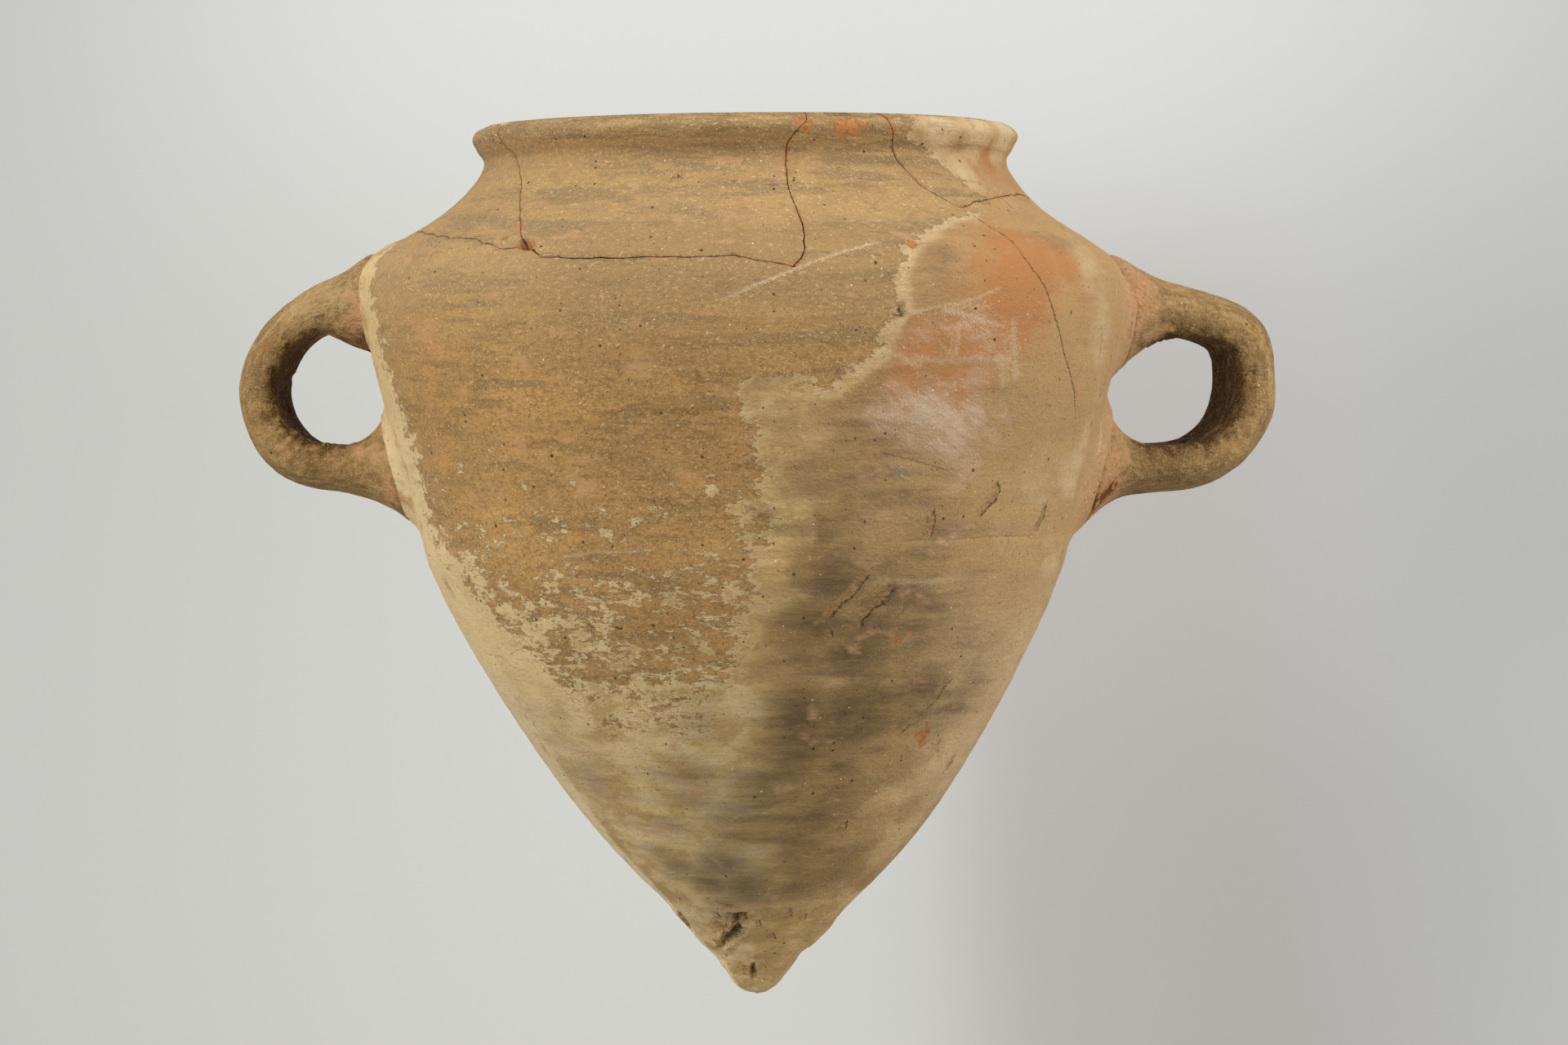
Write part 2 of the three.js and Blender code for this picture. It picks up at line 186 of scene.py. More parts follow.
def fractal(points, size, seed, octaves=3):
    """Noise added up at half the size and half the strength each time."""
    size = np.asarray(size, dtype=float)
    layers = [noise(points, size / 2 ** n, seed + n) / 2 ** n for n in range(octaves)]
    return sum(layers) / (2 - 0.5 ** (octaves - 1))


# Wall profile

def cubics(start, end, leave, arrive, steps):
    """Even steps along a cubic between each start and end, which leaves and arrives by two given
    directions, and then the last end."""
    share = np.linspace(0, 1, steps, endpoint=False)[:, None]
    start, end, leave, arrive = (part[:, None] for part in (start, end, leave, arrive))
    curve = ((2 * start - 2 * end + leave + arrive) * share ** 3
             + (3 * end - 3 * start - 2 * leave - arrive) * share ** 2 + leave * share + start)
    return np.vstack([curve.reshape(-1, 2), end[-1]])


def catmull_rom(points, steps=40):
    """Curve through points with even knots and doubled ends."""
    points = np.array(points, dtype=float)
    padded = np.vstack([points[:1], points, points[-1:]])
    before, start, end, after = (padded[n:len(points) - 1 + n] for n in range(4))
    return cubics(start, end, (end - before) / 2, (after - start) / 2, steps)


def outside_profile():
    """Radius and height from the toe to the lip: points at shares of three straight lines, each
    set off outwards by a bulge, then the lip's bead."""
    toe = np.array([TOE_RADIUS, TOE_HEIGHT])
    seam = np.array([SEAM_RADIUS, SEAM_HEIGHT])
    belly = np.array([BELLY_RADIUS, BELLY_HEIGHT])
    crease = np.array([NECK_RADIUS, CREASE_HEIGHT])
    spans = [
        (toe, seam, CONE_BULGE, [(0, 0), (0.115, 0.33), (0.313, 0.9), (0.55, 1), (0.749, 0.81),
                                 (0.864, 0.57), (0.937, 0.34)]),
        (seam, belly, FLANK_BULGE, [(0.04, 0.12), (0.346, 0.37), (0.625, 1), (0.82, 0.81),
                                    (1, 0)]),
        (belly, crease, SHOULDER_BULGE, [(0.232, 1), (0.39, 0.98)]),
        (belly, crease, -NECK_HOLLOW, [(0.634, 0.35), (0.842, 1), (1, 0)]),
    ]
    points = [blend(low, high, share) + (bulge * part, 0)
              for low, high, bulge, marks in spans for share, part in marks]
    overhang = LIP_RADIUS - NECK_RADIUS
    points += [(NECK_RADIUS + 0.5 * overhang, CREASE_HEIGHT + 0.3 * LIP_HEIGHT),
               (LIP_RADIUS, CREASE_HEIGHT + 0.62 * LIP_HEIGHT),
               (LIP_RADIUS - 0.29 * overhang, CREASE_HEIGHT + 0.84 * LIP_HEIGHT),
               (LIP_FLAT_RADIUS, TOTAL_HEIGHT)]
    return catmull_rom(points)


PROFILE = outside_profile()
PROFILE_ARC = np.append(0, np.cumsum(np.hypot(*np.diff(PROFILE, axis=0).T)))
PROFILE_ALONG = np.gradient(PROFILE, PROFILE_ARC, axis=0)


def arc_at(height):
    """Way up the profile, in mm, at a height."""
    return np.interp(height, PROFILE[:, 1], PROFILE_ARC)


def height_at(arc):
    """Height, at a way up the profile."""
    return np.interp(arc, PROFILE_ARC, PROFILE[:, 1])


def along_at(height):
    """The profile's direction at a height: outwards and upwards."""
    return [np.interp(height, PROFILE[:, 1], PROFILE_ALONG[:, n]) for n in range(2)]


def wall_thickness(height):
    """Thickness of the wall, which changes evenly below the seam and again above it."""
    upper = blend(WALL_AT_SEAM, WALL_AT_LIP,
                  np.clip((height - SEAM_HEIGHT) / (CREASE_HEIGHT - SEAM_HEIGHT), 0, 1))
    lower = blend(WALL_AT_FLOOR, WALL_AT_SEAM, (height - TOE_HEIGHT) / (SEAM_HEIGHT - TOE_HEIGHT))
    return np.where(height > SEAM_HEIGHT, upper, lower)


def inside_profile():
    """The outside moved inwards, square to itself, by the wall, closed by the lip's slope."""
    thickness = wall_thickness(PROFILE[:, 1])
    inwards = np.column_stack([-PROFILE_ALONG[:, 1], PROFILE_ALONG[:, 0]])
    inner = PROFILE + inwards * thickness[:, None]
    body = inner[(PROFILE[:, 1] < CREASE_HEIGHT) & (inner[:, 1] > FLOOR_HEIGHT) & (inner[:, 0] > 0)]
    lip_inner = LIP_FLAT_RADIUS - LIP_FLAT_WIDTH
    slope = (blend(body[-1, 0], lip_inner, 0.25), TOTAL_HEIGHT - LIP_SLOPE)
    return np.vstack([(0, FLOOR_HEIGHT), body, slope, (lip_inner, TOTAL_HEIGHT)])


INNER = inside_profile()
# The toe's own flank, from its tip to where it meets the cone
TOE_FLANK = catmull_rom([
    (0.02, 0.05), (0.34 * TOE_RADIUS, 0.1 * TOE_HEIGHT), (0.57 * TOE_RADIUS, 0.4 * TOE_HEIGHT),
    (0.8 * TOE_RADIUS, 0.79 * TOE_HEIGHT), (TOE_RADIUS, TOE_HEIGHT)], 8)
OUTSIDE_LINE = np.vstack([TOE_FLANK[:-1], PROFILE])


def outside_radius(height):
    """Radius of the wall's outside, and of the toe's flank below it."""
    return np.interp(height, OUTSIDE_LINE[:, 1], OUTSIDE_LINE[:, 0])


def inside_radius(height):
    """Radius of the hollow."""
    return np.interp(height, INNER[:, 1], INNER[:, 0])


def lean_at(height):
    """The throwing axis drifts towards -X above the cone."""
    return -LEAN * smoothstep(height, 0.26 * SEAM_HEIGHT, 1.06 * SEAM_HEIGHT) + 0.13 * LEAN


def lean_of(points):
    """The same as a shift of each point, along X."""
    return lean_at(points[:, 2:]) * (1, 0, 0)


def spun(turn, radius, height):
    """A point by degrees from the front, radius and height."""
    angle = np.radians(turn)
    return np.stack([lean_at(height) + radius * np.sin(angle), -radius * np.cos(angle),
                     height + 0 * angle], axis=-1)


def mark(turn, height):
    """A spot on the outside of the wall."""
    return spun(turn, outside_radius(height), np.asarray(height, dtype=float))


def outward_at(turn, height, inside):
    """Unit direction square to the wall: the profile's own, turned about the axis."""
    along = along_at(height)
    length = np.hypot(*along)
    angle = np.radians(turn)
    flat, up = along[1] / length, -along[0] / length
    sign = np.where(inside, -1.0, 1.0)
    return np.stack([flat * np.sin(angle), -flat * np.cos(angle), up], axis=-1) * sign[..., None]


# Marks on the surface

def to_line(points, outward, line):
    """Distance in mm from each point to a line through (turn, height) marks, signed by side, and
    the way along it. The nearest of its straight pieces counts."""
    corners = mark(*np.array(line, dtype=float).T)
    best = np.full(len(points), FAR)
    signed = np.full(len(points), FAR)
    way = np.zeros(len(points))
    run = 0.0
    for start, end in zip(corners[:-1], corners[1:]):
        span = end - start
        length = np.linalg.norm(span)
        share = np.clip((points - start) @ span / length ** 2, 0, 1)
        offset = points - start - share[:, None] * span
        distance = np.linalg.norm(offset, axis=1)
        side = np.sign(np.einsum("ij,ij->i", np.cross(span, offset), outward))
        nearer = distance < best
        best = np.where(nearer, distance, best)
        signed = np.where(nearer, distance * np.where(side == 0, 1, side), signed)
        way = np.where(nearer, run + share * length, way)
        run += length
    return signed, way / run


def near_points(points, spots):
    """Soft round patches: the strongest of a bell round each (place, radius, strength)."""
    total = np.zeros(len(points))
    for place, radius, strength in spots:
        distance = np.linalg.norm(points - np.array(place), axis=1)
        total = np.maximum(total, strength * bell(distance / radius))
    return total


def near(points, spots):
    """The same for spots on the wall, as (turn, height, radius, strength)."""
    return near_points(points, [(mark(turn, height), *rest) for turn, height, *rest in spots])


def unrolled(turn, height):
    """The wall laid flat, in mm: the way round at the seam and the way up the profile."""
    return np.stack([np.radians(turn) * SEAM_RADIUS, arc_at(height)], axis=-1)


def inside_outline(turn, height, outline):
    """Distance in mm to a closed outline on the unrolled wall, positive inside it."""
    points = unrolled(turn, height)
    corners = unrolled(*np.array(outline, dtype=float).T)
    best = np.full(len(points), FAR)
    crossed = np.zeros(len(points), dtype=bool)
    for start, end in zip(corners, np.roll(corners, -1, axis=0)):
        span = end - start
        share = np.clip((points - start) @ span / (span @ span), 0, 1)
        best = np.minimum(best, np.linalg.norm(points - start - share[:, None] * span, axis=1))
        rise = (start[1] > points[:, 1]) != (end[1] > points[:, 1])
        if span[1]:
            level = start[0] + span[0] * (points[:, 1] - start[1]) / span[1]
            crossed ^= rise & (points[:, 0] < level)
    return np.where(crossed, best, -best)


# Edge of the zone where the slip has worn off, clockwise from the lip, front right to left
WORN_EDGE = [
    (37.3, 216), (35.8, 208.2), (43.5, 205.3), (50.1, 199.2), (53.4, 194.8), (42, 190.4),
    (31.5, 186.6), (24.6, 182.7), (22.7, 178), (22.1, 173), (21.7, 167.9), (20.2, 162.7),
    (18.8, 158.3), (16.8, 155.7), (15.1, 152.8), (12.3, 150.8), (10.7, 152.4), (7.6, 152.6),
    (2.5, 153.7), (0.5, 152.8), (-0.9, 148.6), (0.2, 145.8), (-0.2, 142.7), (2.4, 139.2),
    (0.9, 137.3), (3.3, 132.5), (2.3, 127.3), (-0.4, 122.1), (3.6, 119.5), (2.1, 114.6),
    (0.9, 110.5), (-0.8, 103.9), (-1.5, 96.2), (-3.8, 86), (-7.5, 76), (-18.8, 70), (-28.9, 70),
    (-37.5, 76), (-45, 86), (-52.1, 95), (-55.4, 103), (-60.4, 108.6), (-65.6, 116), (-66.8, 121.8),
    (-67.5, 133.4), (-67.7, 144.1), (-68.8, 150.9), (-71.2, 158.6), (-72.3, 168.3), (-76.4, 178.1),
    (-80, 184.1), (-104, 187), (-131, 191), (-149, 198), (-160, 216),
]
# Flakes of slip left standing inside the worn zone: turn, height, size, strength
SLIP_FLAKES = [
    (-1.4, 123.4, 2.4, 2.4), (-0.3, 117.4, 3.2, 2.4), (-4.8, 127.3, 2.2, 2.2), (-2, 134, 2, 2),
    (-11.6, 136.9, 1.8, 1.8), (-23.4, 121.1, 2.2, 2), (-17.1, 119.7, 2.2, 2.2),
    (-27.8, 128.9, 2, 2), (-42.3, 120.9, 2, 2), (-37.6, 126.7, 1.6, 1.8), (-52.6, 131, 2, 1.8),
    (-47.5, 115, 3, 1.6), (-32, 119.3, 2.2, 1.8), (-60, 126, 3, 1.8), (-56, 112, 3.4, 1.6),
    (-9, 118, 3, 1.6), (-6, 109, 4, 1.4), (-14, 121, 3, 1.2), (-3, 148, 1.2, 2),
    (-2.6, 151, 1.2, 2), (-45, 93, 6, 1.2), (-34, 92, 7, 0.9), (-62, 108, 4, 1.4),
    (-66, 136, 3, 1.6), (-70, 152, 2, 1.6), (-2, 103, 3, 1.4),
]
# Smoke from the kiln: dark clouds on the buff slip, as spots and as stripes with a half width
CLOUD_SPOTS = [
    (22, 128, 18, 0.3), (17, 118, 12, 0.35), (14, 116.5, 5, 0.6), (16, 107, 11, 0.7),
    (28, 106, 15, 0.55), (42, 106, 14, 0.25), (13, 95, 11, 0.7), (22, 92, 13, 0.75),
    (34, 93, 15, 0.5), (10, 74, 11, 0.85), (24, 74, 13, 0.8), (40, 78, 13, 0.65), (9, 64, 12, 0.8),
    (22, 60, 13, 0.6), (36, 64, 10, 0.45), (3, 55, 12, 0.75), (20, 51, 12, 0.6), (-4, 46, 13, 0.65),
    (-12, 38, 10, 0.75), (-26, 44, 11, 0.45), (-4, 30, 10, 0.8), (-20, 31, 8, 0.75),
    (20, 29, 8, 0.5), (-18, 56, 14, 0.5), (14, 40, 12, 0.5), (36, 34, 9, 0.5), (-10, 71, 11, 0.45),
    (-44, 56, 14, 0.45), (-34, 36, 9, 0.6), (-14, 26, 8, 0.6), (-14, 22, 6, 0.5),
    (44, 88, 17, 0.35), (52, 76, 12, 0.5), (120, 70, 26, 0.5), (150, 130, 22, 0.4),
    (-140, 90, 24, 0.45), (34, 116, 8, 0.4), (60, 186, 9, 0.35), (30, 178, 8, 0.45),
]
SMOKE_BANDS = [
    ([(4, 126), (12, 127), (19, 126.2), (30, 126.8)], 2.6, 0.5),
    ([(4, 118.6), (11, 117.8), (19, 118.4)], 2.2, 0.45),
    ([(15, 134), (16, 122), (14, 112), (17, 102), (15, 94), (16, 88)], 9, 0.4),
    ([(12, 77), (12, 70), (6, 62), (0, 52), (-6, 42)], 10, 0.55),
    ([(-34, 34), (-12, 31), (8, 29.5), (30, 29.5)], 4.0, 0.6), ([(28, 80), (46, 79.5)], 4.0, 0.3),
    ([(22, 116.8), (40, 117), (62, 116.6)], 1.9, 0.35),
    ([(6, 110), (22, 111), (40, 110.6)], 2.2, 0.4),
]
# Grey streaks along the worn clay and the lip
GREY_BANDS = [
    ([(-40, 202.4), (-15, 203.7), (-1.5, 204.2), (15.5, 203.7), (33.9, 202.4), (45.8, 199.6),
      (64.2, 197)], 1.3, 0.6), ([(-24, 198.2), (0, 197.6), (20, 196.6), (32, 195)], 1.3, 0.6),
    ([(-75, 196), (-50, 195), (-35, 193.5)], 1.8, 0.45),
    ([(-38, 178), (-20, 177), (-2, 177.5)], 2.2, 0.35),
    ([(-66, 172), (-40, 170), (-18, 171)], 2.6, 0.3),
    ([(-30, 156), (-12, 156.5), (2, 155.5)], 2.4, 0.45),
    ([(-40, 141), (-20, 142), (-6, 142)], 3.0, 0.45), ([(64, 212), (64.5, 203)], 0.5, 0.8),
    ([(44, 206.6), (58, 207.2), (76, 206.8)], 1.0, 0.6), ([(40, 212), (50, 211)], 1.4, 0.6),
    ([(-66, 209), (-20, 209.5), (13, 209.5), (34, 210)], 2.4, 0.4),
    ([(-30, 133), (-18, 134), (-6, 133)], 2.6, 0.5),
    ([(-50, 110), (-30, 111), (-10, 110)], 2.4, 0.35),
    ([(-20, 165), (0, 164), (14, 165)], 2.2, 0.3),
]
# Stripes of the yellower slip along the worn edge
PALE_BANDS = [
    ([(54, 195), (43, 191), (32.5, 187), (25.6, 182.7), (23.7, 178), (23.1, 173), (22.7, 167.9),
      (21.4, 162.7), (20, 158.3), (18, 155), (15.5, 152), (12.3, 150), (7.6, 151.5),
      (2.5, 152.7)], 2.6, 0.9),
    ([(4.5, 152), (5.5, 140), (4, 130), (8, 122), (4, 114), (6, 104), (1, 96), (3, 88)], 4.6, 0.8),
    ([(4, 84), (12, 83), (22, 82.5)], 2.6, 0.35),
    ([(37, 211), (37.5, 206), (45, 203), (52, 198)], 2.0, 0.7),
]
# Orange where the fire reached, pink where the slip was rubbed with a whitish painted sheen on it,
# and the yellower slip again
ORANGE_SPOTS = [
    (38, 178, 9, 0.6), (47, 180, 12, 1.3), (56, 180, 9, 0.8), (43, 171, 12, 1.2),
    (50, 172, 7, 0.45), (34, 172, 9, 0.4), (46, 162, 8, 0.5), (27, 161, 7, 0.9), (34, 160, 8, 1.0),
    (40, 160, 6, 0.8), (25, 150, 7, 0.9), (32, 151, 8, 1.0), (38, 151, 6, 0.6), (60, 172, 8, 0.4),
    (57, 204.5, 5, 0.9), (66, 205, 6, 0.9), (75, 200, 8, 0.6), (60, 158, 8, 0.3), (62, 150, 7, 0.3),
    (-52, 155, 14, 0.3), (-55, 131, 10, 0.3), (-30, 118, 8, 0.2), (-66, 186, 9, 0.3),
    (-14, 116, 8, 0.2), (-30, 11.4, 5, 0.9), (-8, 4.6, 4, 0.5), (76, 128, 9, 0.5),
    (70, 122, 8, 0.4), (150, 165, 20, 0.4), (-150, 150, 22, 0.35),
]
PINK_SHEEN_SPOTS = [
    (27, 140, 7, 0.7), (33, 139, 8, 0.95), (36, 131, 8, 0.4), (43, 141, 9, 0.45), (28, 133, 8, 0.4),
    (27, 163, 7, 0.45), (35, 156, 10, 0.45), (36, 164, 8, 0.4), (42, 157, 7, 0.4),
    (24, 168, 5, 0.4), (30, 144, 9, 1.1), (23, 145, 7, 0.9), (37, 144, 7, 0.9), (39, 137, 8, 0.5),
    (26, 128, 7, 0.3), (36, 122, 10, 0.2), (50, 128, 8, 0.2), (24, 116, 9, 0.25),
]
PALE_SPOTS = [
    (4, 146, 7, 0.9), (7, 139, 7, 0.8), (45, 210, 6, 1.9), (58, 211.5, 6, 2.2), (72, 211, 6.5, 2.3),
    (36.4, 206, 4, 1.3), (52, 200.8, 4.5, 1.3), (8, 149, 7, 0.9), (64, 180, 9, 0.5),
    (68, 162, 10, 0.5), (58, 128, 8, 0.4), (72, 130, 10, 0.7), (62, 62, 13, 1.0), (75, 85, 13, 0.8),
    (60, 40, 10, 0.8), (100, 205, 12, 0.6), (46, 52, 9, 0.5), (130, 150, 20, 0.6),
    (-150, 120, 26, 0.7), (170, 60, 26, 0.7), (70, 108, 9, 0.5),
]
# Raw red clay laid bare by chips
CHIP_SPOTS = [
    (21.2, 211.2, 4.2, 1), (23.4, 210.8, 3.4, 1), (12.2, 212, 2.6, 1), (13.2, 210.4, 2, 0.9),
    (26.5, 183.4, 1.8, 1), (44.4, 67.7, 2.6, 1), (46, 65.5, 1.8, 0.9), (14.9, 98.7, 1.3, 1),
    (29.6, 91.5, 1.4, 0.9), (32.3, 93, 1.3, 0.9), (-34.4, 183.3, 2.4, 0.9), (-40, 185, 1.3, 0.8),
    (-52, 187, 1.4, 0.8), (-85.5, 161.5, 2.4, 1), (-22, 129, 1, 0.6), (9.4, 196, 1.2, 0.6),
    (11, 203, 1.3, 0.7),
]
DEEP_CHIPS = 5               # the first ones go deeper
# Hairline cracks: their (turn, height) points, half width in mm and strength
HAIRLINES = [
    ([(43.3, 192.1), (44.9, 189.3), (46.3, 184.6), (46.1, 180.1), (47.4, 176.9), (49.2, 173.7),
      (51, 168.5), (55.8, 157.7), (61.5, 149), (65, 142)], 0.26, 1.0),
    ([(65, 142), (68, 134), (70, 127)], 0.18, 0.5), ([(68, 165), (69, 160), (69, 156)], 0.3, 0.6),
    ([(76, 160), (77, 154), (76, 150)], 0.3, 0.7), ([(21, 136), (28, 133.6), (35, 131)], 0.25, 0.5),
    ([(-7, 111), (2, 111.3), (9, 112)], 0.2, 0.4),
    ([(24, 114.4), (30, 115.4), (36, 115.1), (47, 115.7), (57.3, 115.1), (80, 115)], 0.3, 0.35),
    ([(-66.8, 86.2), (-59.6, 86), (-56.6, 83.6), (-50.3, 82.9)], 0.3, 0.35),
    ([(60, 197), (61, 192)], 0.25, 0.7), ([(-58, 121), (-40, 117.5), (-20, 118.6)], 0.2, 0.25),
]
# Whitish scratches and strokes, in the same way
SCRATCHES = [
    ([(-3.1, 169.6), (2, 173.5), (7.8, 177.3), (13.2, 180.5), (18.5, 182.6),
      (22.2, 184)], 0.34, 0.6), ([(28.9, 168.3), (33.8, 166.8), (41.5, 163.9)], 0.5, 0.6),
    ([(42.1, 167.1), (43.4, 158.7), (44.9, 151.1)], 0.9, 0.45),
    ([(40.6, 158.7), (42.5, 149.3)], 0.6, 0.4), ([(32.4, 165.1), (32.6, 156.8)], 0.5, 0.45),
    ([(24, 156.8), (29.6, 156.6), (36.7, 157.2), (44.9, 156.8)], 0.7, 0.4),
    ([(21.9, 144.8), (25.4, 143.5), (32.7, 141.9)], 1.1, 0.5),
    ([(23.6, 147.6), (29.3, 145.7), (36.4, 142.8)], 1.3, 0.6),
    ([(23.8, 166.9), (27.6, 168.3), (34.4, 170.2), (40.5, 173.6)], 0.35, 0.5),
    ([(25.1, 145.7), (38.9, 141.8), (45.2, 137)], 0.8, 0.35),
    ([(29, 165.1), (31.2, 162.4), (32.5, 155)], 0.5, 0.35),
    ([(23.3, 151.3), (30.7, 145.7), (37.9, 138.1)], 0.5, 0.4),
    ([(-48.7, 104.9), (-47.7, 103), (-44.7, 101.6)], 0.55, 1.0),
    ([(9, 125), (13, 124.4), (16, 124.8)], 0.25, 0.3),
    ([(86, 142), (88, 138), (87, 133)], 0.5, 0.6),
    ([(-33, 111), (-26, 112.4), (-14, 113.4)], 0.3, 0.45),
    ([(-38, 107), (-28, 106), (-22, 105.8)], 0.25, 0.4), ([(8, 104), (14, 103.6)], 0.3, 0.25),
    ([(12, 52), (24, 51)], 0.25, 0.2), ([(-45.5, 90), (-41, 93.4), (-37, 94.6)], 0.3, 0.3),
    ([(22, 106), (34, 105.4), (44, 106.4)], 0.7, 0.4),
]
# Tears: a dark line of painted shade in the torn hollow, with torn clay on its left, in the same way
TEARS = [
    ([(22.4, 107.6), (20.8, 105.6), (19.4, 102.2), (17.4, 100.6), (15.2, 96.6)], 0.3, 0.8),
    ([(27.4, 104.2), (25.6, 100.6), (23.4, 98.8), (21.2, 94.2)], 0.34, 0.85),
    ([(30.4, 99.6), (29, 97), (27.6, 95.8)], 0.24, 0.4),
    ([(45.4, 128.8), (46.6, 126.5), (46, 124), (42.8, 119.8)], 0.28, 0.9),
    ([(33, 122.6), (33.4, 119.3), (33, 115.6)], 0.28, 1.0),
    ([(62, 123.4), (62, 119.1), (60, 115.9)], 0.28, 1.0),
    ([(47, 82), (45.2, 79), (44.6, 76), (42, 73.6)], 0.30, 0.6),
    ([(52, 66.5), (54.6, 62)], 0.40, 0.5), ([(48, 75), (46, 71)], 0.20, 0.4),
    ([(64.5, 61.5), (65.4, 57)], 0.33, 0.5), ([(39, 71), (37, 68)], 0.20, 0.6),
    ([(-62, 21.6), (-60.6, 20.4), (-60.8, 18.6), (-63.9, 16.8)], 0.40, 1.0),
    ([(-30, 95.6), (-28.4, 94.9)], 0.33, 0.9), ([(-24.6, 95), (-22.8, 94.4)], 0.33, 0.9),
    ([(-12.3, 17.7), (-18, 16.6), (-26, 15.4)], 0.9, 1.0), ([(-13, 21.6), (-14.6, 19.4)], 0.5, 0.8),
    ([(-14, 22.3), (-8, 22.3)], 0.45, 0.8), ([(-30, 14.4), (-40, 12.8)], 0.5, 0.8),
    ([(-25.5, 12.2), (-27.5, 11.4)], 0.4, 0.7), ([(-5.4, 7.8), (-6.8, 6.2), (-6, 4.6)], 0.38, 0.7),
    ([(22.9, 168.4), (23.3, 166.4)], 0.36, 1.0), ([(30, 47), (30.4, 45)], 0.30, 1.0),
    ([(-12.8, 199.9), (-12.2, 199.2)], 0.33, 0.9), ([(-24, 23), (-23.4, 20.4)], 0.25, 0.8),
    ([(-8, 22.4), (-6, 21)], 0.2, 0.8), ([(2, 20.6), (3.4, 18.8)], 0.2, 0.7),
    ([(13, 17.5), (16, 15.8)], 0.25, 0.8), ([(-28, 17), (-24, 16.4)], 0.25, 0.7),
    ([(-20, 25.6), (-12, 25.2)], 0.2, 0.7), ([(16, 94.6), (16.3, 92.4)], 0.23, 0.8),
    ([(20, 24.4), (24, 21)], 0.26, 0.7), ([(33, 22), (36, 20)], 0.26, 0.7),
]
OPEN_TEARS = 10              # the first ones are cut into the surface too
# Gouges: their (turn, height) points, half width and depth in mm
GOUGES = [
    ([(20.8, 107.9), (18, 103.1)], 0.9, 0.5),
    ([(26.4, 104.2), (23.4, 99.1), (20.8, 95.3)], 1.2, 0.6), ([(29, 98.9), (27, 95.9)], 1.1, 0.4),
    ([(53.2, 64.5), (55.5, 60.5)], 1.4, 0.4), ([(63.7, 60.5), (64.5, 58)], 1.2, 0.3),
    ([(-16.6, 22.4), (-7.4, 22.4)], 0.75, 1.1),
    ([(-12.4, 21.8), (-14.4, 19.1), (-17, 17.4)], 0.9, 1.5),
    ([(-11.5, 17.7), (-19.1, 16.5), (-28, 15)], 1.15, 2.6),
    ([(-28, 15), (-35, 13.6), (-42, 12.5)], 0.8, 1.2), ([(-25, 12.4), (-30, 11.2)], 0.9, 0.7),
    ([(-5.4, 7.8), (-6.8, 6.2), (-6, 4.6)], 0.7, 1.2),
    ([(-61, 21), (-60.8, 18.6), (-63.5, 17)], 0.7, 1.0), ([(22.9, 168.2), (23.1, 166.8)], 0.9, 1.2),
    ([(-34.6, 183.4), (-33.4, 182.8)], 1.2, 1.6), ([(-12.6, 199.7), (-12.2, 199.5)], 1.0, 0.8),
]
SEAM_RIGHT = [(24, 114.9), (33.6, 115.6), (47, 115.4), (57.3, 115.2), (80, 115)]
SEAM_NOTCH = (-88, 109.5)


def wear(points, turn, height):
    """How far the slip has gone, from about -3, whole, to 3, worn off. Between them a pattern of
    flakes tears its edge: finely at the right, coarsely at the left limb, and over the whole
    lower left, where the value changes slowly with height."""
    inside = inside_outline(turn, height, WORN_EDGE)
    ragged = 1.0 + 1.2 * smoothstep(-height, -134, -122) + 1.6 * smoothstep(-turn, 56, 66)
    edge = np.clip(inside / ragged, -3.2, 3.2)
    thinned = np.interp(height, [58, 66, 73, 79, 84, 92, 104, 114, 126, 138],
                        [-3.2, -2.4, -1.6, -0.9, 0.1, 0.1, 0.7, 1.4, 2.2, 3.2])
    thinned += 0.55 * noise(points, (22, 22, 8), 91)
    thinned -= 1.3 * smoothstep(-turn, 42, 62) * (height < 112)
    lower_left = (turn > -95) & (turn < 10)
    return np.where(lower_left, np.minimum(edge, thinned), edge) - near(points, SLIP_FLAKES)


def yellow_slip(points, outward, turn, height):
    """Share of the yellower slip: all of it left of the smoke and near the toe, and spots."""
    wavy = turn + 7 * noise(points, (30, 30, 15), 92) + 4 * noise(points, (12, 12, 5), 93)
    left = smoothstep(-wavy, -14, 2) * smoothstep(turn, -150, -95) * smoothstep(-height, -160, -150)
    foot = 0.75 * smoothstep(-height, -34, -22)
    limb = blend(1.4, 0.7, smoothstep(height, 136, 158)) * smoothstep(-turn, 54, 66)
    limb *= 1 - 0.85 * smoothstep(-turn, 90, 118) - 0.15 * smoothstep(-turn, 118, 150)
    patches = np.maximum(near(points, PALE_SPOTS), bands(points, outward, PALE_BANDS))
    return np.maximum(np.maximum(left, foot), np.maximum(limb, patches))


def wall_marks(points, outward, turn, height):
    """Everything that the finishes need to know about the wall's outside, one number a point."""
    marks = {
        "wear": wear(points, turn, height),
        "cloud": np.maximum(near(points, CLOUD_SPOTS), bands(points, outward, SMOKE_BANDS)),
        "orange": near(points, ORANGE_SPOTS),
        "pink_sheen": near(points, PINK_SHEEN_SPOTS),
        "yellow": yellow_slip(points, outward, turn, height),
        "grey": bands(points, outward, GREY_BANDS),
        "chip": near(points, CHIP_SPOTS),
    }
    for name, lines in (("crack", HAIRLINES), ("scratch", SCRATCHES), ("tear", TEARS)):
        marks[name], marks[name + "_on"] = nearest_line(points, outward, lines)
    return marks


def bands(points, outward, lines):
    """Soft stripes: the strongest of a bell across each line, faded at its ends."""
    total = np.zeros(len(points))
    for line, radius, strength in lines:
        signed, way = to_line(points, outward, line)
        total = np.maximum(total, strength * off_ends(way, -0.02, 0.12) * bell(signed / radius))
    return total


